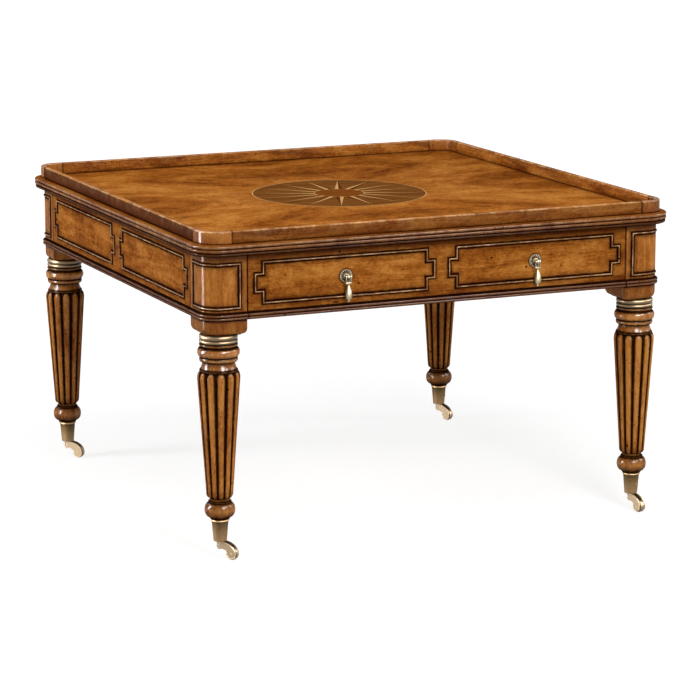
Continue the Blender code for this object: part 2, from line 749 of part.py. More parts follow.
def gallery_corner():
    """The rounded piece of gallery at the front left corner, with a short straight at each end."""
    reach = CORNER_CENTRE - GALLERY_CORNER_STRAIGHT
    radius = GALLERY_HALF - CORNER_CENTRE
    section = gallery_section(GALLERY_CORNER_PROUD)
    loops = [[(inwards - GALLERY_HALF, -reach, z) for inwards, z in section]]
    for step in range(CORNER_STEPS + 1):
        angle = math.radians(180 + 90 * step / CORNER_STEPS)
        loop = []
        for inwards, z in section:
            across = (radius - inwards) * math.cos(angle) - CORNER_CENTRE
            along = (radius - inwards) * math.sin(angle) - CORNER_CENTRE
            loop.append((across, along, z))
        loops.append(loop)
    loops.append([(-reach, inwards - GALLERY_HALF, z) for inwards, z in section])
    return solid_through(loops)


def drawer_front():
    """The drawer front, with its bead panels, a groove for the bottom and two bolt holes."""
    board = box((-FRONT_HALF, -BODY_HALF, FRONT_LEVEL), (FRONT_HALF, -FRONT_INSIDE, FRONT_TOP))
    board = combined(board, [panel_trim(-1), panel_trim(1)], "UNION")
    groove_reach = BOX_INSIDE + GROOVE_DEPTH
    groove_low = (-groove_reach, -FRONT_INSIDE - GROOVE_DEPTH, BOTTOM_LEVEL - SEAT_GAP)
    groove_high = (groove_reach, -FRONT_INSIDE + CUT_OVERRUN, BOTTOM_TOP + SEAT_GAP)
    cuts = [box(groove_low, groove_high)]
    for side in (-1, 1):
        start = FRONT_INSIDE - CUT_OVERRUN
        hole = rod(SHANK_RADIUS + SEAT_GAP, start, BODY_HALF + CUT_OVERRUN, PIN_SIDES)
        cuts.append(laid(hole, "-Y", (side * PULL_REACH, 0, PANEL_MIDDLE)))
    return combined(board, cuts, "DIFFERENCE")


def drawer_side():
    """The left side of the drawer box, with a groove for the bottom."""
    front = SEAT_GAP - FRONT_INSIDE
    board = box((-BOX_OUTSIDE, front, BOX_LEVEL), (-BOX_INSIDE, DRAWER_BACK, BOX_TOP))
    groove_low = (-BOX_INSIDE - GROOVE_DEPTH, front - CUT_OVERRUN, BOTTOM_LEVEL - SEAT_GAP)
    groove_high = (-BOX_INSIDE + CUT_OVERRUN, DRAWER_BACK + CUT_OVERRUN, BOTTOM_TOP + SEAT_GAP)
    return combined(board, [box(groove_low, groove_high)], "DIFFERENCE")


def drawer_back():
    """The drawer's back board, which stands on the bottom between the sides."""
    half = BOX_INSIDE - SEAT_GAP
    low = (-half, DRAWER_BACK - DRAWER_SIDE_THICKNESS, BOTTOM_TOP + SEAT_GAP)
    return box(low, (half, DRAWER_BACK, BOX_TOP - DRAWER_BACK_DROP))


def drawer_bottom():
    """The thin panel in the grooves of the sides and the front."""
    half = BOX_INSIDE + GROOVE_DEPTH - SEAT_GAP
    front = SEAT_GAP - FRONT_INSIDE - GROOVE_DEPTH
    return box((-half, front, BOTTOM_LEVEL), (half, DRAWER_BACK, BOTTOM_TOP))


def drawer_runner():
    """The left runner: a ledge below the drawer side, with a guide beside it."""
    ledge = -BOX_INSIDE + RUNNER_LEDGE / 2
    wall = -APRON_INSIDE + SEAT_GAP
    guide = -POST_INSIDE - SEAT_GAP
    low = FRIEZE_LEVEL - RUNNER_THICKNESS
    section = [
        (wall, low),
        (ledge, low),
        (ledge, FRIEZE_LEVEL),
        (guide, FRIEZE_LEVEL),
        (guide, FRIEZE_LEVEL + GUIDE_HEIGHT),
        (guide - GUIDE_THICKNESS, FRIEZE_LEVEL + GUIDE_HEIGHT),
        (guide - GUIDE_THICKNESS, FRIEZE_LEVEL),
        (wall, FRIEZE_LEVEL),
    ]
    return solid_through([[(x, y, z) for x, z in section] for y in (-BAY_HALF, BAY_HALF)])


def kicker():
    """The left kicker, which keeps an open drawer from tipping."""
    low = (-BOX_OUTSIDE, -BAY_HALF, BOX_TOP + DRAWER_GAP)
    return box(low, (RUNNER_LEDGE / 2 - BOX_INSIDE, APRON_INSIDE - SEAT_GAP, FRIEZE_TOP))


def rosette():
    """A dished backplate with a scalloped rim, in front of the face at -Y."""
    inner = SHANK_RADIUS + SEAT_GAP
    waist = (inner + ROSETTE_RADIUS) / 2
    outline = [(inner, 0), (ROSETTE_RADIUS, 0), (ROSETTE_RADIUS, ROSETTE_EDGE)]
    outline += [((waist + ROSETTE_RADIUS) / 2, ROSETTE_DOME - ROSETTE_HOLLOW)]
    outline += [(waist, ROSETTE_DOME - ROSETTE_HOLLOW), (KNOB_RADIUS + SEAT_GAP, ROSETTE_DOME)]
    outline += [(inner, ROSETTE_DOME)]
    bm = bmesh.new()
    bm.from_mesh(turned(outline, 2 * ROSETTE_PETALS, closed=True))
    for vert in bm.verts:
        across = Vector((vert.co.x, vert.co.y))
        if across.length > waist:
            step = round(math.atan2(vert.co.y, vert.co.x) * ROSETTE_PETALS / math.pi)
            shrink = 1 - ROSETTE_PETAL_SHARE * (step % 2)
            vert.co.x *= shrink
            vert.co.y *= shrink
    return laid(mesh_of(bm), "-Y", (0, -SEAT_GAP, 0))


def pull_post():
    """The bolt through the drawer front, with a knob and the cross pin that the drop hangs on."""
    tail = -DRAWER_FRONT_THICKNESS - SEAT_GAP - NUT_THICKNESS - SHANK_TAIL
    knob = SEAT_GAP + ROSETTE_DOME + SEAT_GAP
    outline = [(0, tail), (SHANK_RADIUS, tail), (SHANK_RADIUS, knob), (KNOB_RADIUS, knob)]
    outline += [(KNOB_RADIUS, KNOB_REACH - KNOB_ROUNDING), (KNOB_RADIUS - KNOB_ROUNDING, KNOB_REACH)]
    outline += [(0, KNOB_REACH)]
    half = KNOB_RADIUS + SEAT_GAP + DROP_ARM_THICKNESS + SEAT_GAP
    pin = laid(rod(DROP_PIN_RADIUS, -half, half, PIN_SIDES), "+X", (0, -DROP_AXIS_REACH, 0))
    return combined(laid(turned(outline, SMALL_SIDES), "-Y"), [pin], "UNION")


def pull_nut():
    """A hexagonal nut on the bolt, behind the drawer front."""
    inner = SHANK_RADIUS + SEAT_GAP
    start = -DRAWER_FRONT_THICKNESS - SEAT_GAP - NUT_THICKNESS
    nut = rod(NUT_RADIUS, start, start + NUT_THICKNESS, 6)
    bore = rod(inner, start - CUT_OVERRUN, start + NUT_THICKNESS + CUT_OVERRUN, PIN_SIDES)
    return laid(combined(nut, [bore], "DIFFERENCE"), "-Y")


def pull_drop():
    """A stirrup with an eye at the top of each arm, and a tear-shaped drop with a ball below."""
    inner = KNOB_RADIUS + SEAT_GAP
    outer = inner + DROP_ARM_THICKNESS
    bar_top = -DROP_ARM_LENGTH
    bar_low = bar_top - DROP_BAR_HEIGHT
    shapes = []
    for side in (-1, 1):
        eye = laid(rod(DROP_EYE_RADIUS, side * inner, side * outer, PIN_SIDES), "+X")
        half = DROP_EYE_RADIUS * DROP_ARM_SHARE
        shapes += [eye, box((side * inner, -half, bar_low), (side * outer, half, 0))]
    half = DROP_EYE_RADIUS
    bar = box((-outer - DROP_BAR_PROUD, -half, bar_low), (outer + DROP_BAR_PROUD, half, bar_top))
    widest = bar_low - TEAR_LENGTH * TEAR_WIDEST_SHARE
    low = bar_low - TEAR_LENGTH
    ball_low = low - 2 * DROP_BALL_RADIUS
    outline = [(0, ball_low)]
    outline += bulge(ball_low, low, 0, DROP_BALL_RADIUS, 4)[1:-1]
    outline += [(TEAR_TIP_RADIUS, low)]
    for angle in (math.pi / 6, math.pi / 3, math.pi / 2):
        radius = TEAR_TIP_RADIUS + (TEAR_RADIUS - TEAR_TIP_RADIUS) * math.sin(angle)
        outline.append((radius, low + (widest - low) * (1 - math.cos(angle))))
    for share in (1 / 3, 2 / 3, 1):
        swell = (1 + math.cos(math.pi * share)) / 2
        radius = TEAR_NECK_RADIUS + (TEAR_RADIUS - TEAR_NECK_RADIUS) * swell
        outline.append((radius, widest + (bar_low - widest) * share))
    outline += [(TEAR_NECK_RADIUS, (bar_low + bar_top) / 2), (0, (bar_low + bar_top) / 2)]
    drop = combined(bar, [*shapes, turned(outline, SMALL_SIDES)], "UNION")
    reach = outer + CUT_OVERRUN
    hole = laid(rod(DROP_PIN_RADIUS + SEAT_GAP, -reach, reach, PIN_SIDES), "+X")
    return combined(drop, [hole], "DIFFERENCE")


def mirrored(mesh):
    """The mesh mirrored in X."""
    bm = bmesh.new()
    bm.from_mesh(mesh)
    for vert in bm.verts:
        vert.co.x = -vert.co.x
    return mesh_of(bm)


def build_corners(walnut, brass, gilt):
    """Posts, legs, collars and casters, the same at each corner."""
    post = corner_post()
    turned_leg = leg()
    ring = collar()
    cup = caster_cup()
    horn = caster_horn()
    wheel = caster_wheel()
    axle = laid(rod(AXLE_RADIUS, -CHEEK_OUTSIDE, CHEEK_OUTSIDE, PIN_SIDES), "-Y")
    for corner, quarter in CORNERS.items():
        turn = math.pi / 2 * quarter
        angle = turn + math.radians(225)
        across = math.copysign(1, math.cos(angle))
        along = math.copysign(1, math.sin(angle))
        place(f"corner_post_{corner}", post, walnut, (across * POST_REACH, along * POST_REACH, 0), turn)
        x = across * LEG_REACH
        y = along * LEG_REACH
        place(f"leg_{corner}", turned_leg, walnut, (x, y, 0), turn)
        place(f"leg_collar_{corner}", ring, gilt, (x, y, 0), turn)
        place(f"caster_cup_{corner}", cup, brass, (x, y, 0), turn)
        swivel = empty(f"caster_{corner}", (x, y, 0), math.radians(CASTER_DEGREES[corner]))
        place(f"caster_horn_{corner}", horn, brass, parent=swivel)
        place(f"caster_axle_{corner}", axle, brass, (TRAIL, 0, AXLE_LEVEL), parent=swivel)
        place(f"caster_wheel_{corner}", wheel, brass, (TRAIL, 0, AXLE_LEVEL), parent=swivel)


def build_top(walnut, veneer):
    """The top, its medallion and the gallery that stands on it."""
    place("top_board", top_board(), walnut)
    thickness = MEDALLION_THICKNESS
    disc = rod(MEDALLION_RADIUS - SEAT_GAP, 0, thickness, MEDALLION_SIDES)
    place("star_medallion", disc, veneer, (0, 0, TABLE_LEVEL - thickness))
    rail = gallery_rail()
    corner_piece = gallery_corner()
    for side, quarter in SIDES.items():
        place(f"gallery_rail_{side}", rail, walnut, turn=math.pi / 2 * quarter)
    for corner, quarter in CORNERS.items():
        place(f"gallery_corner_{corner}", corner_piece, walnut, turn=math.pi / 2 * quarter)


def build_frieze(walnut, bare_wood):
    """The aprons and rails, and the runners and kickers inside."""
    board = apron()
    for side, quarter in SIDES.items():
        if side != "front":
            place(f"apron_{side}", board, walnut, turn=math.pi / 2 * quarter)
    place("front_bottom_rail", front_bottom_rail(), walnut)
    place("front_top_rail", front_top_rail(), bare_wood)
    runner = drawer_runner()
    place("drawer_runner_left", runner, bare_wood)
    place("drawer_runner_right", mirrored(runner), bare_wood)
    upper = kicker()
    place("drawer_kicker_left", upper, bare_wood)
    place("drawer_kicker_right", mirrored(upper), bare_wood)


def build_drawer(walnut, bare_wood, brass):
    """The drawer, which slides along -Y, with its pulls."""
    drawer = empty("drawer", (0, 0, 0))
    place("drawer_front", drawer_front(), walnut, parent=drawer)
    side = drawer_side()
    place("drawer_side_left", side, bare_wood, parent=drawer)
    place("drawer_side_right", mirrored(side), bare_wood, parent=drawer)
    place("drawer_back", drawer_back(), bare_wood, parent=drawer)
    place("drawer_bottom", drawer_bottom(), bare_wood, parent=drawer)
    plate = rosette()
    post = pull_post()
    nut = pull_nut()
    drop = pull_drop()
    for side_name, side_sign in (("left", -1), ("right", 1)):
        x = side_sign * PULL_REACH
        face = (x, -BODY_HALF, PANEL_MIDDLE)
        place(f"pull_rosette_{side_name}", plate, brass, face, parent=drawer)
        place(f"pull_post_{side_name}", post, brass, face, parent=drawer)
        place(f"pull_nut_{side_name}", nut, brass, face, parent=drawer)
        axis = (x, -BODY_HALF - DROP_AXIS_REACH, PANEL_MIDDLE)
        place(f"pull_drop_{side_name}", drop, brass, axis, parent=drawer)


def main():
    clear_scene()
    walnut = finish("polished_walnut", (0.26, 0.098, 0.026), 0.28, 0.0)
    veneer = finish("medallion_veneer", (0.12, 0.042, 0.014), 0.28, 0.0)
    bare_wood = finish("bare_wood", (0.42, 0.26, 0.12), 0.6, 0.0)
    brass = finish("antique_brass", (0.30, 0.22, 0.12), 0.42, 1.0)
    gilt = finish("gilt_brass", (0.42, 0.31, 0.15), 0.36, 1.0)
    build_corners(walnut, brass, gilt)
    build_top(walnut, veneer)
    build_frieze(walnut, bare_wood)
    build_drawer(walnut, bare_wood, brass)


main()
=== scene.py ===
"""Square walnut coffee table: the visible pieces, their finishes, the stage and the camera."""

import json
import math
from types import SimpleNamespace

import bmesh
import bpy
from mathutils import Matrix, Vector


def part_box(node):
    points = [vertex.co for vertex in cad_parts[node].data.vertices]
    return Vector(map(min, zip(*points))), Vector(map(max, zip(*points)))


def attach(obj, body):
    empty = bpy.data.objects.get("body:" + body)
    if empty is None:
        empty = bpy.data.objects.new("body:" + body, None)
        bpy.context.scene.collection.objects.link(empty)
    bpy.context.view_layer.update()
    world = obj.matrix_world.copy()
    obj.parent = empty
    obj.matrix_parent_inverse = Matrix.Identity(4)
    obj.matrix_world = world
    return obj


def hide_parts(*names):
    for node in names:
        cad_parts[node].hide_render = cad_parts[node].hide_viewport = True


bl_info = {
    "name": "Walnut coffee table",
    "version": (1, 0, 0),
    "blender": (4, 5, 0),
    "location": "3D View > Sidebar > Coffee Table",
    "description": "Dresses the solids of a square walnut coffee table and sets its stage",
    "category": "Object",
}

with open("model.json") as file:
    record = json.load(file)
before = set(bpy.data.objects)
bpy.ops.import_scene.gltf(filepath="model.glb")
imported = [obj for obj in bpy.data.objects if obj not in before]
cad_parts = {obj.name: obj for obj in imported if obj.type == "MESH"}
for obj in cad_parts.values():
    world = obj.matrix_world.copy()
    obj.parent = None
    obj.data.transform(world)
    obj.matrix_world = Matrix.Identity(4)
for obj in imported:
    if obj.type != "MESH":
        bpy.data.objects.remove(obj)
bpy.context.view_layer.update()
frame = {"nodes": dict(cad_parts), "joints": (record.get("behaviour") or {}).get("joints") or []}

# The gap between seated pieces, and how near two verts lie to be one
SEAT_GAP = 0.0003
SAME_PLACE = 0.000001

# Places read from the solids
JOINTS = {joint["name"]: joint for joint in frame["joints"]}
CORNERS = {"front_left": 0, "front_right": 1, "back_right": 2, "back_left": 3}
SIDES = {"front": 0, "right": 1, "back": 2, "left": 3}
TABLE_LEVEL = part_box("star_medallion")[1][2]
STAR_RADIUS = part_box("star_medallion")[1][0]
TOP_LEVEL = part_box("top_board")[0][2]
TOP_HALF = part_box("top_board")[1][0]
FRIEZE_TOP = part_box("apron_back")[1][2]
BAND_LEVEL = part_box("apron_back")[0][2]
FRIEZE_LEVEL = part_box("front_bottom_rail")[1][2]
BAND_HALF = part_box("apron_back")[1][1]
BAY_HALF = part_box("apron_back")[1][0]
APRON_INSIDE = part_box("apron_back")[0][1]
BODY_HALF = -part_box("pull_rosette_left")[1][1] - SEAT_GAP
POST_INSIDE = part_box("corner_post_back_right")[0][0]
POST_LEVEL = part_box("corner_post_back_right")[0][2]
GALLERY_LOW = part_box("gallery_rail_back")[0][2]
GALLERY_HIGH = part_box("gallery_rail_back")[1][2]
GALLERY_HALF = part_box("gallery_rail_back")[1][1]
GALLERY_CORNER_HALF = -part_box("gallery_corner_front_left")[0][0]
GALLERY_CORNER_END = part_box("gallery_corner_front_left")[1][0]
GALLERY_THICKNESS = GALLERY_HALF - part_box("gallery_rail_back")[0][1]
RAIL_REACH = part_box("gallery_rail_back")[1][0]
CUP_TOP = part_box("caster_cup_front_left")[1][2]
TOE_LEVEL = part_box("leg_front_left")[0][2]
COLLAR_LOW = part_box("leg_collar_front_left")[0][2]
COLLAR_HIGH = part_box("leg_collar_front_left")[1][2]
HORN_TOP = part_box("caster_horn_front_left")[1][2]
WHEEL_RADIUS = JOINTS["wheel_front_left_roll"]["pos_m"][2]
PULL_REACH = abs(JOINTS["drop_left_swing"]["pos_m"][0])
PULL_LEVEL = JOINTS["drop_left_swing"]["pos_m"][2]
PULL_AXIS = JOINTS["drop_left_swing"]["pos_m"][1]


def length(name, description, default, least=0.0, most=1.0):
    """A length that can be set in the sidebar."""
    return bpy.props.FloatProperty(
        name=name, description=description, default=default, min=least, max=most, unit="LENGTH", precision=4
    )


def share(name, description, default):
    """A share from 0 to 1 that can be set in the sidebar."""
    return bpy.props.FloatProperty(
        name=name, description=description, default=default, min=0, max=1, subtype="FACTOR"
    )


def number(name, description, default, least, most):
    """A plain number that can be set in the sidebar."""
    return bpy.props.FloatProperty(name=name, description=description, default=default, min=least, max=most)


def colour(name, description, default):
    """A colour that can be set in the sidebar."""
    return bpy.props.FloatVectorProperty(
        name=name, description=description, subtype="COLOR", size=3, min=0, max=1, default=default
    )


class WoodSettings(bpy.types.PropertyGroup):
    """Colours and wear of the walnut, with the colours of its painted shade and highlights."""

    light: colour("Light walnut", "Palest honey of the figure", (0.51, 0.203, 0.037))
    middle: colour("Walnut", "Main honey brown", (0.315, 0.097, 0.012))
    dark: colour("Dark walnut", "Dark streaks of the figure", (0.130, 0.030, 0.004))
    # Also the colour of painted shade below the top's overhang, on the reeds, the post blocks and the
    # gallery's outer faces, and on the top beside the gallery
    burnish_and_shade: colour("Burnish", "Red brown rubbed in beside the mouldings", (0.070, 0.015, 0.003))
    # Also the near black of painted shade in quirks, grooves and recesses; the worm holes and dark joints
    # use it too
    glaze: colour("Glaze", "Dark glaze left in the hollows", (0.0105, 0.0024, 0.0006))
    # Also the colour of painted highlights on crests and edges
    worn: colour("Worn crest", "Pale wood where a crest is rubbed", (0.62, 0.37, 0.17))
    bare: colour("Bare wood", "Unpolished wood inside", (0.46, 0.29, 0.145))
    inlay: colour("Inlay", "Pale wood of the star and the strings", (0.62, 0.345, 0.11))
    ground: colour("Medallion ground", "Dark veneer between the rays", (0.20, 0.070, 0.013))
    lacquer: share("Lacquer", "How much clear lacquer lies on the posts", 0.16)
    leg_lacquer: share("Leg lacquer", "How much clear lacquer lies on the legs' reeds", 0.12)
    frieze_lacquer: share("Frieze lacquer", "How much clear lacquer lies on the frieze", 0.03)
    top_lacquer: share("Top lacquer", "How much clear lacquer lies on the top", 0.010)
    wear: share("Wear", "How many worm holes and dents the wood has", 0.6)


class MetalSettings(bpy.types.PropertyGroup):
    """Colours of the brass."""

    cup: colour("Cup brass", "Dark antique brass of the caster cups", (0.212, 0.134, 0.064))
    horn: colour("Horn brass", "Paler brass of the caster horns and wheels", (0.31, 0.233, 0.150))
    gilt: colour("Gilt", "Pale gilt of the leg rings", (0.136, 0.095, 0.056))
    pull: colour("Pull brass", "Pale brass of the drop pulls", (0.27, 0.222, 0.148))
    # Also the colour of painted shade in the brass's recesses and behind its parts
    tarnish: colour("Tarnish", "Dark brown in the hollows of the brass", (0.030, 0.018, 0.007))


class MouldingSizes(bpy.types.PropertyGroup):
    """Sizes of the posts, panels, beads and reeds."""

    bead_width: length("Bead width", "Width of the raised beads", 0.0030, 0.001, 0.008)
    bead_proud: length("Bead height", "How far the raised beads stand out", 0.0021, 0.0005, 0.0022)
    panel_height: length("Panel height", "Height of a bead panel", 0.0660, 0.02, 0.09)
    panel_near: length("Panel spacing", "From the middle of a face to a panel", 0.0135, 0.005, 0.05)
    panel_end: length("Panel margin", "From a post to a panel", 0.0140, 0.005, 0.05)
    notch_length: length("Notch length", "Length of the notch at a panel's corner", 0.0138, 0.005, 0.03)
    notch_height: length("Notch height", "Height of the notch at a panel's corner", 0.0188, 0.005, 0.03)
    post_radius: length("Post corner radius", "Radius of a post's outer corner", 0.030, 0.01, 0.04)
    post_margin: length("Post frame margin", "From a post's side to its bead frame", 0.0125, 0.005, 0.03)
    post_low: length("Post frame foot", "From the reeds to a post's bead frame", 0.0085, 0.003, 0.03)
    block_height: length("Block moulding", "Height of the round under a post's block", 0.0100, 0.002, 0.014)
    block_depth: length("Block moulding depth", "How far that round goes in", 0.0078, 0.002, 0.01)
    block_fillet: length("Block fillet", "Height of the fillet below that round", 0.0014, 0.0, 0.003)
    band_quirk: length("Band quirk", "Depth of the grooves of the lower reeds", 0.0030, 0.0005, 0.0044)
    edge_quirk: length("Edge quirk", "Depth of the grooves of the top's reeds", 0.0036, 0.0005, 0.005)
    edge_setback: length("Lowest reed setback", "How far the lowest reed lies further in", 0.0013, 0, 0.004)
    quirk_ease: length("Quirk ease", "Flat beside the lower reeds", 0.0004, 0.0001, 0.001)


class LegSizes(bpy.types.PropertyGroup):
    """Heights and radii of the turned and reeded leg, from the caster upwards."""

    foot_ring: length("Foot ring height", "Height of the ring above the cup", 0.0036, 0.001, 0.01)
    bun: length("Bun height", "Height of the bun", 0.0247, 0.01, 0.04)
    astragal: length("Astragal height", "Height of the small ring above the bun", 0.0027, 0.001, 0.005)
    ankle: length("Ankle height", "From the bun to the reeds", 0.0075, 0.002, 0.02)
    shaft: length("Shaft length", "Length of the reeded shaft", 0.2121, 0.1, 0.3)
    reed_foot: length("Reed foot", "How long the reeds' rounded feet are", 0.0070, 0.002, 0.02)
    reed_tip: length("Reed tip", "How long the reeds' rounded tips are", 0.0110, 0.002, 0.02)
    fillet: length("Fillet height", "Height of the fillet above the reeds", 0.0016, 0.0005, 0.005)
    neck: length("Neck height", "Height of the hollow neck", 0.0129, 0.005, 0.03)
    small_ring: length("Small ring height", "Height of the ring below the bead", 0.0077, 0.003, 0.02)
    bead: length("Bead height", "Height of the large bead", 0.0156, 0.005, 0.03)
    thread: length("Thread height", "Height of the thin thread above the bead", 0.0016, 0.0005, 0.003)
    wood_ring: length("Wood ring height", "From the bead to the gilt rings", 0.0070, 0.003, 0.02)
    foot_ring_radius: length("Foot ring radius", "Radius of the ring above the cup", 0.0164, 0.01, 0.03)
    bun_radius: length("Bun radius", "Radius of the bun", 0.0252, 0.018, 0.03)
    ankle_radius: length("Ankle radius", "Radius of the ankle", 0.0170, 0.01, 0.02)
    foot_radius: length("Shaft foot radius", "Radius of the shaft above its feet", 0.0220, 0.01, 0.03)
    head_radius: length("Shaft head radius", "Radius of the shaft below its tips", 0.0351, 0.02, 0.0352)
    top_radius: length("Shaft top radius", "Radius where the tips end", 0.0303, 0.02, 0.033)
    neck_radius: length("Neck radius", "Radius of the neck's waist", 0.0262, 0.02, 0.03)
    ring_radius: length("Ring radius", "Radius of the rings beside the bead", 0.0314, 0.02, 0.035)
    bead_radius: length("Bead radius", "Radius of the large bead", 0.0345, 0.02, 0.036)
    quirk: length("Quirk depth", "Depth of the grooves between the rings", 0.0022, 0.0005, 0.004)
    reeds: bpy.props.IntProperty(
        name="Reeds", description="Number of reeds round the leg", default=12, min=6, max=24
    )
    groove: share("Groove depth", "Depth of the grooves as a share of the radius", 0.175)


class CasterSizes(bpy.types.PropertyGroup):
    """Sizes of the brass casters."""

    cup_foot: length("Cup foot radius", "Radius of the cup at its foot", 0.0111, 0.008, 0.02)
    cup_head: length("Cup head radius", "Radius of the cup below its lip", 0.0141, 0.008, 0.02)
    cup_lip: length("Cup lip radius", "Radius of the cup's lip", 0.0151, 0.008, 0.02)
    lip_height: length("Cup lip height", "Height of the cup's lip", 0.0032, 0.001, 0.006)
    cup_wall: length("Cup wall", "Thickness of the cup's wall", 0.0015, 0.0005, 0.004)
    cup_floor: length("Cup floor", "Thickness of the cup's floor", 0.0035, 0.001, 0.008)
    pin_radius: length("Pin radius", "Radius of the swivel pin", 0.0030, 0.001, 0.005)
    pin_head: length("Pin head radius", "Radius of the swivel pin's head", 0.0045, 0.002, 0.006)
    hub_radius: length("Hub radius", "Radius of the horn round the pin", 0.0060, 0.004, 0.01)
    hub_height: length("Hub height", "Height of the horn round the pin", 0.0106, 0.005, 0.02)
    horn_thickness: length("Horn thickness", "Height of the horn's arm at the hub", 0.0122, 0.004, 0.02)
    disc_radius: length("Disc radius", "Radius of a cheek round the axle", 0.0085, 0.005, 0.01)
    cheek_inside: length("Cheek spacing", "From the middle to a cheek", 0.00425, 0.002, 0.01)
    cheek: length("Cheek thickness", "Thickness of a cheek", 0.0025, 0.001, 0.005)
    rim: length("Cheek rim", "Width of the raised rim round a cheek", 0.0009, 0.0003, 0.002)
    wheel_width: length("Wheel width", "Width of a wheel", 0.0077, 0.003, 0.01)
    axle_radius: length("Axle radius", "Radius of an axle", 0.0020, 0.001, 0.004)


class PullSizes(bpy.types.PropertyGroup):
    """Sizes of the drop pulls."""

    petals: bpy.props.IntProperty(
        name="Petals", description="Number of petals on the backplate", default=16, min=6, max=32
    )
    plate_radius: length("Backplate radius", "Radius of the backplate", 0.0112, 0.006, 0.0113)
    plate_rim: length("Backplate rim", "Width of the backplate's smooth rim", 0.0013, 0.0005, 0.003)
    plate_dome: length("Backplate dome", "How far the backplate stands out", 0.0025, 0.001, 0.0026)
    shank_radius: length("Shank radius", "Radius of the bolt", 0.0020, 0.001, 0.003)
    knob_radius: length("Knob radius", "Radius of the knob on the bolt", 0.0030, 0.001, 0.005)
    pin_radius: length("Cross pin radius", "Radius of the pin the drop hangs on", 0.0009, 0.0004, 0.002)
    eye_radius: length("Eye radius", "Radius of the eyes of the stirrup", 0.0022, 0.001, 0.003)
    arm_inside: length("Arm spacing", "From the middle to a stirrup arm", 0.0033, 0.001, 0.006)
    arm: length("Arm thickness", "Thickness of a stirrup arm", 0.0014, 0.0005, 0.003)
    arm_length: length("Arm length", "From the cross pin to the stirrup's bar", 0.0092, 0.004, 0.02)
    bar_height: length("Bar height", "Height of the stirrup's bar", 0.0028, 0.001, 0.005)
    bar_proud: length("Bar ends", "How far the bar stands past the arms", 0.0007, 0.0, 0.002)
    neck_radius: length("Drop neck", "Radius of the drop below the bar", 0.0022, 0.001, 0.005)
    tear_radius: length("Drop radius", "Largest radius of the drop", 0.0060, 0.003, 0.0062)
    tip_radius: length("Drop tip", "Radius of the drop above its ball", 0.0014, 0.0005, 0.003)
    ball_radius: length("Ball radius", "Radius of the ball below the drop", 0.0018, 0.001, 0.003)


class StageSettings(bpy.types.PropertyGroup):
    """Floor, light and camera."""

    floor: colour("Floor", "Colour of the studio floor", (0.62, 0.62, 0.62))
    world: number("Surrounding light", "Strength of the light from all round", 0.24, 0, 2)
    light: number("Lamps", "Strength of all lamps together", 1.0, 0.1, 4)
    focal_share: number("Focal share", "Focal length as a share of the picture's width", 4.2921, 0.5, 10)
    camera: bpy.props.FloatVectorProperty(
        name="Camera place", description="Where the camera stands", subtype="TRANSLATION",
        size=3, unit="LENGTH", default=(-2.1215, -4.7845, 1.3326),
    )
    aim: bpy.props.FloatVectorProperty(
        name="Camera turn", description="Pitch, roll and heading of the camera", subtype="EULER",
        size=3, default=(math.radians(90 - 11.776), 0.0, math.radians(-24.120)),
    )


class TableSettings(bpy.types.PropertyGroup):
    """Everything that can be set on the table."""

    wood: bpy.props.PointerProperty(type=WoodSettings)
    metal: bpy.props.PointerProperty(type=MetalSettings)
    mouldings: bpy.props.PointerProperty(type=MouldingSizes)
    leg: bpy.props.PointerProperty(type=LegSizes)
    caster: bpy.props.PointerProperty(type=CasterSizes)
    pull: bpy.props.PointerProperty(type=PullSizes)
    stage: bpy.props.PointerProperty(type=StageSettings)


def settings():
    return bpy.context.scene.coffee_table


# Shader maths


class Field:
    """A value or colour that changes over a surface, with arithmetic that adds its nodes."""

    def __init__(self, shader, socket):
        self.shader = shader
        self.socket = socket

    def beside(self, name):
        """Another output of the same node."""
        return Field(self.shader, self.socket.node.outputs[name])

    def math(self, operation, *others, clamp=False):
        inputs = dict(enumerate((self, *others)))
        return self.shader.node("ShaderNodeMath", {"operation": operation, "use_clamp": clamp}, inputs)

    def __add__(self, other):
        return self.math("ADD", other)

    __radd__ = __add__

    def __sub__(self, other):
        return self.math("SUBTRACT", other)

    def __rsub__(self, other):
        return self.math("MULTIPLY_ADD", -1.0, other)

    def __mul__(self, other):
        return self.math("MULTIPLY", other)

    __rmul__ = __mul__

    def __truediv__(self, other):
        return self.math("DIVIDE", other)

    def __pow__(self, other):
        return self.math("POWER", other)

    def __abs__(self):
        return self.math("ABSOLUTE")

    def least(self, other):
        return self.math("MINIMUM", other)

    def most(self, other):
        return self.math("MAXIMUM", other)

    def over(self, limit):
        return self.math("GREATER_THAN", limit)

    def clamp(self):
        return self.math("ADD", 0.0, clamp=True)

    def eased(self, low, high, start, end):
        smooth = {"interpolation_type": "SMOOTHSTEP", "clamp": True}
        return self.shader.node("ShaderNodeMapRange", smooth, {0: self, 1: low, 2: high, 3: start, 4: end})

    def rise(self, low, high):
        """From 0 at low to 1 at high, eased at both ends."""
        return self.eased(low, high, 0.0, 1.0)

    def fall(self, low, high):
        """From 1 at low to 0 at high, eased at both ends."""
        return self.eased(low, high, 1.0, 0.0)

    def near(self, place, reach):
        """1 at a place, 0 from reach away."""
        return abs(self - place).fall(0.0, reach)


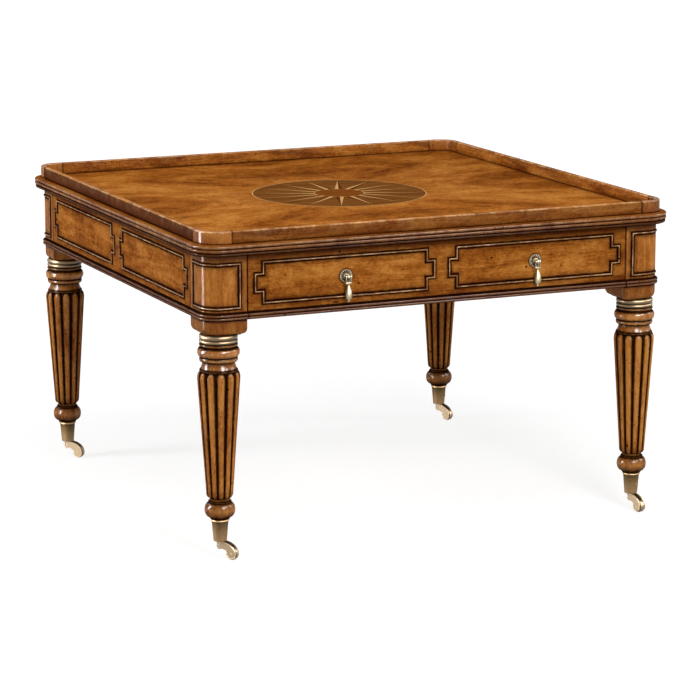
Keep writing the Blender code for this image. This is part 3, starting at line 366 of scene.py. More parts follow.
class Nodes:
    """The nodes of a material or of the world."""

    def __init__(self, owner):
        self.owner = owner
        owner.use_nodes = True
        self.tree = owner.node_tree
        self.tree.nodes.clear()

    def node(self, kind, settings=None, inputs=None, output=0):
        """Adds a node: its settings first, then the values or links of its sockets."""
        made = self.tree.nodes.new(kind)
        for key, value in (settings or {}).items():
            if key == "stops":
                self.set_stops(made.color_ramp, value)
            else:
                setattr(made, key, value)
        for key, value in (inputs or {}).items():
            if isinstance(value, Field):
                self.tree.links.new(value.socket, made.inputs[key])
            else:
                made.inputs[key].default_value = value
        return Field(self, made.outputs[output]) if made.outputs else None

    def set_stops(self, ramp, stops):
        while len(ramp.elements) < len(stops):
            ramp.elements.new(0.5)
        for element, (position, shade) in zip(ramp.elements, stops):
            element.position = position
            element.color = (*shade, 1.0)


class Shader(Nodes):
    """One material and the calls that add its nodes."""

    def __init__(self, name="finish"):
        super().__init__(bpy.data.materials.new(name))
        self.place = self.node("ShaderNodeTexCoord", output="Object")
        self.x = self.node("ShaderNodeSeparateXYZ", inputs={0: self.place}, output="X")
        self.y = self.x.beside("Y")
        self.z = self.x.beside("Z")

    def ramp(self, value, *stops):
        return self.node("ShaderNodeValToRGB", {"stops": stops}, {0: value})

    def mix(self, factor, first, second):
        """Mixes two colours."""
        pair = [value if isinstance(value, Field) else (*value, 1.0) for value in (first, second)]
        return self.node("ShaderNodeMix", {"data_type": "RGBA"}, {0: factor, 6: pair[0], 7: pair[1]}, 2)

    def painted(self, name):
        """A value painted on the mesh."""
        return self.node("ShaderNodeAttribute", {"attribute_name": name}, output="Fac")

    def stretched(self, scale, shift=(0, 0, 0), turn=(0, 0, 0)):
        inputs = {"Vector": self.place, "Location": shift, "Rotation": turn, "Scale": scale}
        return self.node("ShaderNodeMapping", {}, inputs)

    def noise(self, scale, stretch=(1, 1, 1), detail=3.0, rough=0.55, bend=0.0, shift=(0, 0, 0)):
        """Noise around 0, mostly from -0.25 to 0.25, with about scale features in a metre."""
        inputs = {
            "Vector": self.stretched(stretch, shift),
            "Scale": scale,
            "Detail": detail,
            "Roughness": rough,
            "Distortion": bend,
        }
        return self.node("ShaderNodeTexNoise", {}, inputs) - 0.5

    def spots(self, scale, radius, share_held, stretch=(1, 1, 1), turn=(0, 0, 0), shift=(0, 0, 0)):
        """Scattered spots: 1 inside, 0 outside. The share of cells that hold one is given."""
        inputs = {"Vector": self.stretched(stretch, shift, turn), "Scale": scale}
        near = self.node("ShaderNodeTexVoronoi", {}, inputs, "Distance")
        red = self.node("ShaderNodeSeparateColor", {}, {0: near.beside("Color")})
        size = (red.beside("Green") * 0.7 + 0.3) * radius
        return (near / size).fall(0.7, 1.1) * red.over(1.0 - share_held)

    def finish(self, shade, roughness, height, metallic=0.0, coat=0.0, specular=0.5):
        """Closes the material with a Principled surface. Height is in metres."""
        bump = {"Strength": 1.0, "Distance": 1.0, "Height": height}
        inputs = {
            "Base Color": shade,
            "Roughness": roughness,
            "Metallic": metallic,
            "Specular IOR Level": specular,
            "Coat Weight": coat,
            "Coat Roughness": 0.2,
            "Normal": self.node("ShaderNodeBump", {}, bump),
        }
        surface = self.node("ShaderNodeBsdfPrincipled", {}, inputs)
        self.node("ShaderNodeOutputMaterial", {}, {"Surface": surface})
        return self.owner


def times(factor, shade):
    """A colour made darker or lighter by a factor."""
    return [factor * part for part in shade]


def body_reach(shader):
    """How far a point lies outside the table's rounded square body, in metres."""
    radius = settings().mouldings.post_radius
    across = abs(shader.x) - (BODY_HALF - radius)
    along = abs(shader.y) - (BODY_HALF - radius)
    outside = (across.most(0.0) ** 2.0 + along.most(0.0) ** 2.0) ** 0.5
    return outside + across.most(along).least(0.0) - radius


def panel_reach(shader, along):
    """How far a point of a frieze face lies from a panel's notched bead: below 0 inside it."""
    sizes = settings().mouldings
    half = POST_INSIDE - sizes.panel_end - PULL_REACH
    run = abs(abs(shader.x if along == "X" else shader.y) - PULL_REACH)
    rise = abs(shader.z - PULL_LEVEL)
    wide = (run - half).most(rise - (sizes.panel_height / 2 - sizes.notch_height))
    tall = (run - (half - sizes.notch_length)).most(rise - sizes.panel_height / 2)
    return wide.least(tall)


def post_reach(shader):
    """The same for the bead frame of a post."""
    sizes = settings().mouldings
    inside = abs(shader.x).least(abs(shader.y)) - (POST_INSIDE + sizes.post_margin)
    low = shader.z - (FRIEZE_LEVEL + sizes.post_low)
    high = PULL_LEVEL + sizes.panel_height / 2 - shader.z
    return -1.0 * inside.least(low).least(high)


def wood_marks(shader, grain, amount=1.0):
    """Worm holes, ink specks and short dents, as one mask."""
    wear = settings().wood.wear * 2 * amount
    along = {"X": (0.25, 1, 1), "Y": (1, 0.25, 1), "Z": (1, 1, 0.25)}[grain]
    holes = shader.spots(62, 0.15, 0.26 * wear, shift=(0.31, 0.17, 0.05))
    specks = shader.spots(140, 0.22, 0.26 * wear, shift=(0.11, 0.41, 0.23))
    dents = shader.spots(52, 0.14, 0.22 * wear, stretch=along, turn=(0.2, 0.35, 0.3))
    return holes.most(specks * 0.8).most(dents * 0.85)


def walnut(
    grain, glaze, worn, lacquer, tone, contrast, dim=None, gloss=None, veneers=None, burl=0.0, marks=1.0,
    streaks=1.15, wave=2.6,
):
    """Polished walnut: its figure along one axis, dark glaze and painted shade in the hollows, burnish and
    painted shade from the dim masks, crests lightened for wear and as painted highlights, and marks.

    Veneers may lay the figure in mirrored sheets and give each its own tone.
    """
    wood = settings().wood
    shader = Shader()
    mark = wood_marks(shader, grain, marks)
    sheets = veneers(shader) if veneers else 0.0
    axis = "XYZ".index(grain)
    wavy, streaky, fine = [
        tuple(1 if place == axis else across for place in range(3)) for across in (wave, 7, 30)
    ]
    cloud = shader.noise(6.5, wavy, 4.0, 0.62, 0.8)
    streak = shader.noise(7.0, streaky, 5.0, 0.64, 1.1, (0.4, 0.1, 0.7))
    fibre = shader.noise(20.0, fine, 3.0, 0.6, 0.0, (0.2, 0.9, 0.3))
    mottle = shader.noise(150.0, wavy, 3.0, 0.7, 0.6, (0.5, 0.7, 0.2))
    value = cloud * (2.0 - streaks) + streak * streaks + fibre * 0.40 + mottle * 0.85
    if burl:
        knots = shader.noise(38.0, (1, 1, 1), 5.0, 0.68, 1.4, (0.8, 0.3, 0.6))
        value = value + knots * burl
    value = (value * contrast + (0.5 + tone) + sheets).clamp()
    shade = shader.ramp(value, (0.0, wood.dark), (0.5, wood.middle), (1.0, wood.light))
    pores = shader.noise(150.0, fine, 2.0, 0.5, 0.0, (0.6, 0.2, 0.8)).rise(0.10, 0.22)
    shade = shader.mix(pores * 0.28, shade, wood.dark)
    # The dim masks mix in burnish and painted shade
    if dim:
        shade = shader.mix(dim(shader), shade, wood.burnish_and_shade)
    # Crests lightened for wear and as painted highlights
    patchy = shader.noise(48.0, (1, 1, 1), 4.0, 0.7, 0.0, (0.3, 0.2, 0.9)).rise(-0.08, 0.12) * 0.8 + 0.2
    shade = shader.mix(worn(shader) * patchy, shade, wood.worn)
    shade = shader.mix(mark * 0.92, shade, wood.glaze)
    height = fibre * 0.00010 - pores * 0.00004 - mark * 0.00022
    # Glaze and painted shade in the hollows, from the mask
    broken = shader.noise(120.0, (1, 1, 1), 3.0, 0.6, 0.0, (0.7, 0.5, 0.1)) * 0.9 + 1.08
    hollow = (glaze(shader) * broken).clamp()
    shade = shader.mix(hollow * 0.96, shade, wood.glaze)
    coat = (1.0 - mark) * (gloss(shader) + lacquer if gloss else lacquer) * (1.0 - hollow)
    rough = streak * 0.12 + 0.36 + hollow * 0.25
    return shader.finish(shade, rough, height, coat=coat, specular=0.0)


def band_glaze_and_shade(shader):
    """Glaze and painted shade in the quirks beside and between the two reeds at the frieze's foot."""
    quirk = settings().mouldings.band_quirk
    proud = BAND_HALF - BODY_HALF
    hollow = body_reach(shader).fall(proud - quirk * 0.55, proud - quirk * 0.01)
    below = shader.z.fall(FRIEZE_LEVEL + 0.0014, FRIEZE_LEVEL + 0.0030)
    above = shader.z.rise(BAND_LEVEL - 0.0022, BAND_LEVEL - 0.0006)
    return hollow * below * above


def band_worn_and_highlight(shader):
    """Crests of the same reeds lightened, for wear and as painted highlights."""
    proud = BAND_HALF - BODY_HALF
    return body_reach(shader).rise(proud - 0.0005, proud - 0.0001) * 0.10


def wavered(shader, edge):
    """A reach whose lines waver as if drawn by hand."""
    return edge + shader.noise(90.0, (1, 1, 1), 2.0, 0.5, 0.0, (0.1, 0.8, 0.4)) * 0.0022


def bead_glaze_and_shade(shader, edge):
    """Dark lines of glaze and painted shade along both sides of a raised bead, the inner one wider."""
    low = body_reach(shader).fall(0.0009, 0.0019)
    half = settings().mouldings.bead_width / 2
    edge = wavered(shader, edge)
    inner = (-1.0 * edge).rise(half * 0.2, half * 0.8) * (-1.0 * edge).fall(half * 1.9, half * 4.0)
    outer = edge.rise(half * 0.2, half * 0.8) * edge.fall(half * 1.7, half * 3.2) * 0.95
    return inner.most(outer) * low


def bead_worn_and_highlight(shader, edge):
    """The crest of a raised bead lightened, for wear and as a painted highlight."""
    proud = settings().mouldings.bead_proud
    return body_reach(shader).rise(proud * 0.80, proud * 0.98) * abs(edge).fall(0.0006, 0.0016)


def bead_shade(shader, edge, reach, strength):
    """Burnish and painted shade on both sides of a bead, patchy along its way."""
    blotch = shader.noise(34.0, (1, 1, 1), 3.0, 0.6, 0.4, (0.2, 0.6, 0.4)) * 2.4 + 0.9
    return (abs(edge).fall(-reach / 2, reach) * strength * blotch).least(0.85).most(0.0)


def top_joint(shader):
    """The dark line of the joint below the top board."""
    return shader.z.rise(TOP_LEVEL - 0.0022, TOP_LEVEL - 0.0010) * 0.9


def frieze_top_shade(shader):
    """The shade below the top's overhang."""
    return shader.z.rise(TOP_LEVEL - 0.019, TOP_LEVEL - 0.004) * 0.80


def pull_contact_shade(shader):
    """Painted contact shade round the pulls' backplates, only on the front."""
    across = abs(shader.x) - PULL_REACH
    radius = (across**2.0 + (shader.z - PULL_LEVEL) ** 2.0) ** 0.5 - settings().pull.plate_radius
    return radius.fall(0.0006, 0.0026) * shader.y.fall(-BODY_HALF, 0.0)


def frieze_finish(along, pulls=False):
    """The frieze's walnut, with glaze and painted shade beside the beads and in the reeds, and dark lines
    at the joints.
    """
    sizes = settings().mouldings

    def run(shader):
        """How far a point lies from the middle of its face."""
        return abs(shader.x if along == "X" else shader.y)

    def seams(shader):
        """Fine joints in the veneer above the inner corners of the panels."""
        seam = run(shader).near(sizes.panel_near + sizes.notch_length, 0.0006)
        return seam * shader.z.rise(PULL_LEVEL + sizes.panel_height / 2, PULL_LEVEL + 0.036) * 0.7

    def outer(shader):
        """1 on the outer face, 0 on the plain inner one."""
        return body_reach(shader).rise(-0.004, -0.002)

    # Glaze and painted shade beside the beads and in the band, dark seams and joints, and painted contact
    # shade round the pulls
    def glaze(shader):
        lines = bead_glaze_and_shade(shader, panel_reach(shader, along)).most(band_glaze_and_shade(shader))
        end = run(shader).rise(BAY_HALF - 0.0026, BAY_HALF - 0.0008) * 0.9
        lines = lines.most(seams(shader)).most(top_joint(shader)).most(end)
        return (lines.most(pull_contact_shade(shader) * 0.85) if pulls else lines) * outer(shader)

    # Burnish and painted shade beside the beads, painted shade below the top's overhang and over the band,
    # the stiles a little darker
    def dim(shader):
        edge = panel_reach(shader, along)
        stile = edge.rise(0.0, 0.003) * 0.22
        near = bead_shade(shader, edge, 0.015, 1.25).most(frieze_top_shade(shader)).most(stile)
        band = shader.z.fall(FRIEZE_LEVEL, FRIEZE_LEVEL + 0.004) * 0.85
        return near.most(band).clamp() * outer(shader)

    def worn(shader):
        return bead_worn_and_highlight(shader, panel_reach(shader, along)).most(band_worn_and_highlight(shader))

    def gloss(shader):
        return body_reach(shader).rise(0.0006, 0.0014) * 0.20

    return walnut(
        along, glaze, worn, settings().wood.frieze_lacquer, tone=0.03, contrast=1.5, dim=dim, gloss=gloss,
        burl=0.75, marks=0.9,
    )


def post_finish():
    """The posts' walnut, its figure upright."""

    # Glaze and painted shade beside the bead frame and in the band, and dark joints
    def glaze(shader):
        lines = bead_glaze_and_shade(shader, post_reach(shader)).most(band_glaze_and_shade(shader))
        foot = shader.z.fall(POST_LEVEL + 0.0003, POST_LEVEL + 0.0020) * 0.8
        above = shader.z.rise(BAND_LEVEL, BAND_LEVEL + 0.001)
        side = abs(shader.x).least(abs(shader.y)).fall(POST_INSIDE + 0.0004, POST_INSIDE + 0.0016)
        return lines.most(top_joint(shader)).most(foot).most(side * above * 0.7)

    # Burnish and painted shade beside the bead frame; painted shade below the top's overhang, over the band
    # and on the block under it; the block darker towards its foot
    def dim(shader):
        edge = post_reach(shader)
        reeds = shader.z.fall(FRIEZE_LEVEL, FRIEZE_LEVEL + 0.002)
        reeds = reeds * shader.z.rise(BAND_LEVEL - 0.002, BAND_LEVEL)
        below = shader.z.rise(BAND_LEVEL - 0.006, BAND_LEVEL) * shader.z.fall(BAND_LEVEL, FRIEZE_LEVEL)
        block = shader.z.fall(BAND_LEVEL + 0.006, FRIEZE_LEVEL) * (below * 0.5 + 0.4)
        under = shader.z.fall(POST_LEVEL, POST_LEVEL + 0.008) * 0.70
        near = bead_shade(shader, edge, 0.015, 1.35)
        return near.most(frieze_top_shade(shader)).most(block).most(under).most(reeds * 0.8).clamp()

    def worn(shader):
        return bead_worn_and_highlight(shader, post_reach(shader)).most(band_worn_and_highlight(shader))

    def gloss(shader):
        return body_reach(shader).rise(0.0002, 0.0010) * 0.08

    return walnut(
        "Z", glaze, worn, settings().wood.lacquer, tone=0.15, contrast=1.4, dim=dim, gloss=gloss,
        burl=0.35, marks=0.8,
    )


def top_finish():
    """The top's walnut: mirrored sheets, glaze and painted shade at the gallery and a dark line round the
    star, and a reeded edge.
    """
    sizes = settings().mouldings
    proud = TOP_HALF - BODY_HALF
    foot = GALLERY_HALF - BODY_HALF

    def side(shader):
        """1 on the reeded edge, 0 on the flat top."""
        return shader.z.fall(TABLE_LEVEL - 0.0012, TABLE_LEVEL - 0.0002)

    # Glaze and painted shade in the edge's quirks and along the gallery's feet; dark joints round the star
    # and down the middle
    def glaze(shader):
        reach = body_reach(shader)
        low = reach.fall(proud - sizes.edge_quirk * 0.70, proud - sizes.edge_quirk * 0.03) * side(shader)
        line = reach.near(foot, 0.0030) * 0.9
        inner = reach.near(foot - GALLERY_THICKNESS, 0.0026) * 0.85
        ring = (shader.x**2.0 + shader.y**2.0) ** 0.5
        seams = abs(shader.x).least(abs(shader.y)).fall(0.0001, 0.0006)
        lines = low.most(line).most(inner).most(ring.near(STAR_RADIUS, 0.0006) * 0.6)
        return lines.most(seams * 0.35)

    # Painted shade on the top beside the gallery and on the reeded edge, and blotches of darker tone
    def dim(shader):
        reach = body_reach(shader)
        border = reach.rise(foot - GALLERY_THICKNESS - 0.016, foot - GALLERY_THICKNESS) * 0.35
        edge = side(shader) * 0.60
        blotch = shader.noise(9.0, (1, 1.6, 1), 3.0, 0.6, 0.8, (0.1, 0.3, 0.0)).rise(0.05, 0.24)
        return border.most(edge).most(blotch * 0.30)

    # Painted highlight with wear on the edge's crests, stronger on the upper reeds
    def worn(shader):
        crest = body_reach(shader).rise(proud - sizes.edge_setback - 0.0007, proud - 0.0001) * side(shader)
        upper = shader.z.rise(TABLE_LEVEL - 0.0060, TABLE_LEVEL - 0.0020) * 0.25 + 0.15
        return crest * upper

    def gloss(shader):
        return side(shader) * 0.20

    def veneers(shader):
        """Four mirrored sheets of flame figure, laid about 22 degrees off the sides."""
        right = shader.x.over(0.0)
        u, v = abs(shader.x), abs(shader.y)
        turned = {0: u * 0.92 + v * 0.38, 1: v * 0.92 - u * 0.38, 2: shader.z}
        shader.place = shader.node("ShaderNodeCombineXYZ", {}, turned)
        return right * shader.y.over(0.0) * -0.10 + right * 0.03

    return walnut(
        "X", glaze, worn, settings().wood.top_lacquer, tone=0.03, contrast=1.35, dim=dim, gloss=gloss,
        veneers=veneers, burl=0.7, marks=0.4, streaks=0.35, wave=1.6,
    )


def painted_finish(grain, **choices):
    """Walnut whose glaze and painted shade, and whose worn crests and painted highlights, are written on
    the mesh.
    """
    masks = [lambda shader, name=name: shader.painted(name) for name in ("glaze", "worn")]
    return walnut(grain, *masks, **choices)


def rail_finish(grain, darkened):
    """The gallery's walnut, with painted shade on its outer faces."""
    foot = GALLERY_HALF - BODY_HALF

    # Painted shade on the outer face, up to just below the upper edge
    def dim(shader):
        upper = shader.z.fall(GALLERY_HIGH - 0.0020, GALLERY_HIGH - 0.0010)
        return body_reach(shader).rise(foot - 0.0020, foot - 0.0006) * upper * darkened

    return painted_finish(grain, lacquer=0.05, tone=-0.06, contrast=1.9, marks=0.6, dim=dim)


def leg_finish():
    """The legs' walnut, with more lacquer on the turned parts than on the reeds."""

    def gloss(shader):
        levels = leg_levels()
        above = shader.z.rise(levels.tips - 0.004, levels.tips - 0.001)
        return above.most(shader.z.fall(levels.ankle, levels.shaft)) * 0.42

    lacquer = settings().wood.leg_lacquer
    return painted_finish("Z", lacquer=lacquer, tone=0.20, contrast=1.8, marks=1.8, gloss=gloss)


def star_finish():
    """Sixteen two-tone rays on a dark ground, with a pale string round the disc and the hub."""
    wood = settings().wood
    rays = 16
    hub = STAR_RADIUS * 0.284
    tip = STAR_RADIUS * 0.945
    base = STAR_RADIUS * 0.046
    shader = Shader()
    radius = (shader.x**2.0 + shader.y**2.0) ** 0.5
    angle = shader.y.math("ARCTAN2", shader.x)
    step = math.tau / rays
    turn = ((angle / step + 0.5).math("FLOORED_MODULO", 1.0) - 0.5) * step
    along = radius * turn.math("COSINE")
    across = radius * turn.math("SINE")
    inside = radius.rise(hub - 0.0002, hub + 0.0002)
    ray = ((tip - along) * (base / (tip - hub)) - abs(across)).rise(0.0, 0.0003) * inside
    pale = across.rise(-0.0002, 0.0002)
    string = abs(radius - (STAR_RADIUS - 0.0016)).fall(0.0009, 0.0013)
    hub_string = abs(radius - hub).fall(0.0005, 0.0009) * 0.8
    streak = shader.noise(9.0, (1, 9, 1), 5.0, 0.62, 0.7)
    fibre = shader.noise(26.0, (1, 24, 1), 3.0, 0.6)
    figure = (streak * 1.2 + fibre * 0.6 + 0.5).clamp()
    stops = ((0.0, 0.2), (0.55, 0.85), (1.0, 1.6))
    ground = shader.ramp(figure, *[(place, times(amount, wood.ground)) for place, amount in stops])
    core = shader.mix(figure, wood.dark, times(0.75, wood.middle))
    light = shader.mix(figure, times(0.75, wood.inlay), wood.inlay)
    shade = shader.mix(figure, times(0.4, wood.dark), times(0.9, wood.dark))
    tint = shader.mix(inside, core, ground)
    tint = shader.mix(ray, tint, shader.mix(pale, shade, light))
    tint = shader.mix(string.most(hub_string), tint, light)
    mark = wood_marks(shader, "X", 0.5)
    tint = shader.mix(mark * 0.8, tint, wood.glaze)
    height = fibre * 0.00006 - mark * 0.0002
    return shader.finish(tint, streak * 0.1 + 0.32, height, coat=wood.top_lacquer, specular=0.0)


def bare_finish(grain):
    """Planed, unpolished wood for what lies inside."""
    bare = settings().wood.bare
    shader = Shader()
    stretch = {"X": (1, 12, 12), "Y": (12, 1, 12)}[grain]
    streak = shader.noise(9.0, stretch, 4.0, 0.6, 0.5)
    fibre = shader.noise(60.0, stretch, 2.0, 0.6, 0.0, (0.3, 0.1, 0.8))
    figure = (streak * 1.3 + fibre * 0.5 + 0.5).clamp()
    shade = shader.ramp(figure, (0.0, times(0.55, bare)), (0.6, bare), (1.0, times(1.25, bare)))
    return shader.finish(shade, streak * 0.1 + 0.62, fibre * 0.00015, specular=0.2)


def brass_finish(tint, tarnished, rough):
    """Dulled brass, darkened by tarnish and painted shade written on the mesh and by blotches, lighter on
    its edges from wear and painted highlights.
    """
    tint, tarnish = getattr(settings().metal, tint), settings().metal.tarnish
    shader = Shader()
    cloud = shader.noise(60.0, (1, 1, 1), 4.0, 0.65, 0.5)
    fine = shader.noise(420.0, (1, 1, 1), 3.0, 0.6, 0.0, (0.2, 0.6, 0.9))
    hollow = shader.painted("glaze")
    patina = (cloud * 1.8 + fine * 1.1 + 0.15).clamp() * tarnished
    brown = [(dark + bright) / 2 for dark, bright in zip(tarnish, tint)]
    bright = [min(1.0, 1.9 * part) for part in tint]
    shade = shader.mix(patina, tint, brown)
    # Edges lighter from wear and as painted highlights
    shade = shader.mix(shader.painted("worn") * (fine + 0.85), shade, bright)
    # Tarnish and painted shade from the mask written on the mesh
    shade = shader.mix((hollow * (fine * 0.6 + 1.0)).clamp(), shade, tarnish)
    roughness = fine * 0.18 + patina * 0.10 + hollow * 0.25 + rough
    height = fine * 0.00002 + cloud * 0.00004
    return shader.finish(shade, roughness, height, metallic=1.0)


FINISHES = {
    "top": top_finish,
    "star": star_finish,
    "rail_x": lambda: rail_finish("X", darkened=0.50),
    "rail_y": lambda: rail_finish("Y", darkened=0.92),
    "gallery_corner": lambda: painted_finish(
        "Z", lacquer=0.30, tone=-0.10, contrast=1.2, streaks=0.3, wave=1.2
    ),
    "drawer_x": lambda: frieze_finish("X", pulls=True),
    "frieze_x": lambda: frieze_finish("X"),
    "frieze_y": lambda: frieze_finish("Y"),
    "post": post_finish,
    "leg": leg_finish,
    "bare_x": lambda: bare_finish("X"),
    "bare_y": lambda: bare_finish("Y"),
    "cup": lambda: brass_finish("cup", tarnished=0.50, rough=0.46),
    "horn": lambda: brass_finish("horn", tarnished=0.40, rough=0.40),
    "gilt": lambda: brass_finish("gilt", tarnished=0.40, rough=0.36),
    "pull": lambda: brass_finish("pull", tarnished=0.35, rough=0.32),
}


def finish_of(key):
    """The material of a finish, made once."""
    made = bpy.data.materials.get(f"finish_{key}")
    if made is None:
        made = FINISHES[key]()
        made.name = f"finish_{key}"
    return made


# Shapes


def bulge(low, high, root, crest, steps=8):
    """Points of a half-round ring as (radius, height), from low to high."""
    points = []
    for step in range(steps + 1):
        angle = math.pi * step / steps
        height = low + (high - low) * (1 - math.cos(angle)) / 2
        points.append((root + (crest - root) * math.sin(angle), height))
    return points


def reeded_band(low, height, proud, quirk, count, steps=8, setback=0.0):
    """Points of reeds one above the other, as (proud, height); the lowest may lie further in."""
    points = []
    for reed in range(count):
        start = low + height * reed / count
        inwards = 0.0 if reed else setback
        root = proud - quirk - inwards
        points.extend(bulge(start, start + height / count, root, proud - inwards, steps)[:-1])
    points.append((proud - quirk, low + height))
    return points


def arc(centre, radius, start, end, steps):
    """Points of an arc, with its angles in degrees."""
    points = []
    for step in range(steps + 1):
        angle = math.radians(start + (end - start) * step / steps)
        points.append((centre[0] + radius * math.cos(angle), centre[1] + radius * math.sin(angle)))
    return points


def swing(steps):
    """The sine and cosine of the angles from 0 to 90 degrees, in equal steps."""
    angles = [math.pi / 2 * step / steps for step in range(steps + 1)]
    return [(math.sin(angle), math.cos(angle)) for angle in angles]


def shares(steps):
    """Equal shares up to 1, without 0."""
    return [step / steps for step in range(1, steps + 1)]


def rotated(x, y, turn):
    """A point turned about the middle, anticlockwise."""
    return x * math.cos(turn) - y * math.sin(turn), x * math.sin(turn) + y * math.cos(turn)


def rounded_square(half, radius, level):
    """A square outline with round corners."""
    centre = half - radius
    points = []
    for turn, (x, y) in enumerate([(1, 1), (-1, 1), (-1, -1), (1, -1)]):
        points += arc((x * centre, y * centre), radius, 90 * turn, 90 * turn + 90, 20)
    return [(x, y, level) for x, y in points]


def carry(bm, loop, places):
    """Extrudes a closed loop of verts and sets the new loop down at the given places."""
    edges = []
    for start, end in zip(loop, loop[1:] + loop[:1]):
        edges.append(bm.edges.get((start, end)) or bm.edges.new((start, end)))
    made = bmesh.ops.extrude_edge_only(bm, edges=edges)["geom"]
    fresh = {item for item in made if isinstance(item, bmesh.types.BMVert)}
    following = []
    for vert in loop:
        following.append(next(e.other_vert(vert) for e in vert.link_edges if e.other_vert(vert) in fresh))
    for vert, point in zip(following, places):
        vert.co = point
    return following


def open_loft(bm, loops):
    """A solid through loops of points, open at the last one, whose verts are returned."""
    loop = [bm.verts.new(point) for point in loops[0]]
    bm.faces.new(loop)
    for places in loops[1:]:
        loop = carry(bm, loop, places)
    return loop


def loft(bm, loops):
    """A solid through loops of points, with flat ends."""
    bm.faces.new(open_loft(bm, loops))


def ring(bm, loops):
    """A closed ring through loops of points."""
    loop = [bm.verts.new(point) for point in loops[0]]
    for places in loops[1:] + loops[:1]:
        loop = carry(bm, loop, places)


def spun(bm, outline, steps, centre=(0, 0), closed=False):
    """Turns an outline of (radius, height) about an upright axis."""
    points = [bm.verts.new((centre[0] + radius, centre[1], height)) for radius, height in outline]
    following = points[1:] + points[:1] if closed else points[1:]
    edges = [bm.edges.new(pair) for pair in zip(points, following)]
    bmesh.ops.spin(
        bm,
        geom=points + edges,
        axis=(0, 0, 1),
        cent=(*centre, 0),
        angle=math.tau,
        steps=steps,
        use_merge=True,
    )


def rod(bm, radius, centre, depth, segments=32):
    """A round rod along X, with its middle at centre."""
    made = bmesh.ops.create_cone(
        bm, cap_ends=True, segments=segments, radius1=radius, radius2=radius, depth=depth
    )["verts"]
    for vert in made:
        vert.co = Vector(centre) + Vector((vert.co.z, vert.co.y, vert.co.x))


def block(bm, low, high, ease=0.0, segments=2):
    """A box between two corners, with eased edges."""
    made = bmesh.ops.create_cube(bm, size=1.0)["verts"]
    for vert in made:
        vert.co = [(a + b) / 2 + (b - a) * c for a, b, c in zip(low, high, vert.co)]
    if ease:
        edges = {edge for vert in made for edge in vert.link_edges}
        bmesh.ops.bevel(
            bm, geom=list(edges), offset=ease, affect="EDGES", segments=segments, profile=0.5, material=-1
        )


def offset_loop(loop, distance):
    """A closed plane loop, drawn anticlockwise, moved outwards by a distance with mitred corners."""
    moved = []
    for before, here, after in zip(loop[-1:] + loop[:-1], loop, loop[1:] + loop[:1]):
        first = (Vector(here) - Vector(before)).normalized()
        second = (Vector(after) - Vector(here)).normalized()
        bisector = Vector((first.y, -first.x)) + Vector((second.y, -second.x))
        moved.append(Vector(here) + bisector * distance / (1 + first.dot(second)))
    return [(point.x, point.y) for point in moved]


def bead_section():
    """The section of a raised bead, as (inwards, proud), with its foot inside the wood."""
    sizes = settings().mouldings
    steps = 8
    half = sizes.bead_width / 2
    shoulder = sizes.bead_proud / 5
    points = [(-half, -2 * shoulder), (half, -2 * shoulder)]
    for step in range(steps + 1):
        angle = math.pi * step / steps
        points.append((half * math.cos(angle), shoulder + (sizes.bead_proud - shoulder) * math.sin(angle)))
    return points


def quarter_turned(bm, quarter):
    """Quarter turns about the table's middle."""
    for vert in bm.verts:
        x, y, z = vert.co
        for _ in range(quarter):
            x, y = -y, x
        vert.co = (x, y, z)


def dark_near(value, places, width):
    """1 at any of the places, fading out within about a width."""
    return max(math.exp(-(((value - place) / width) ** 2)) for place in places)


def painted(bm, shade):
    """Writes the attributes of glaze with painted shade and of wear with painted highlight, from a function
    of a vert's place.
    """
    glaze = bm.verts.layers.float.new("glaze")
    worn = bm.verts.layers.float.new("worn")
    for vert in bm.verts:
        dark, light = shade(vert.co)
        vert[glaze] = min(1.0, max(0.0, dark))
        vert[worn] = min(1.0, max(0.0, light))


def placed(name, data):
    """An object of the scene."""
    made = bpy.data.objects.new(name, data)
    bpy.context.scene.collection.objects.link(made)
    return made


def piece(bm, name, finish, body, node, angle=35, shade=None):
    """Closes a bmesh into an object of its own that rides on a body and stands for a CAD node."""
    bmesh.ops.remove_doubles(bm, verts=bm.verts, dist=SAME_PLACE)
    bmesh.ops.recalc_face_normals(bm, faces=bm.faces)
    if shade is not None:
        painted(bm, shade)
    mesh = bpy.data.meshes.new(name)
    bm.to_mesh(mesh)
    bm.free()
    mesh.shade_smooth()
    mesh.set_sharp_from_angle(angle=math.radians(angle))
    mesh.materials.append(finish_of(finish))
    made = placed(name, mesh)
    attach(made, body)
    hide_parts(node)


def dressed(node, finish):
    """Gives a CAD node that stays a finish of its own."""
    solid = frame["nodes"][node]
    solid.data.materials.clear()
    solid.data.materials.append(finish_of(finish))


def leg_centre(corner):
    return JOINTS[f"caster_{corner}_swivel"]["pos_m"][:2]


class PieceOperator(bpy.types.Operator):
    """Builds pieces of the table."""

    bl_options = {"REGISTER", "UNDO"}

    def execute(self, context):
        self.build()
        return {"FINISHED"}


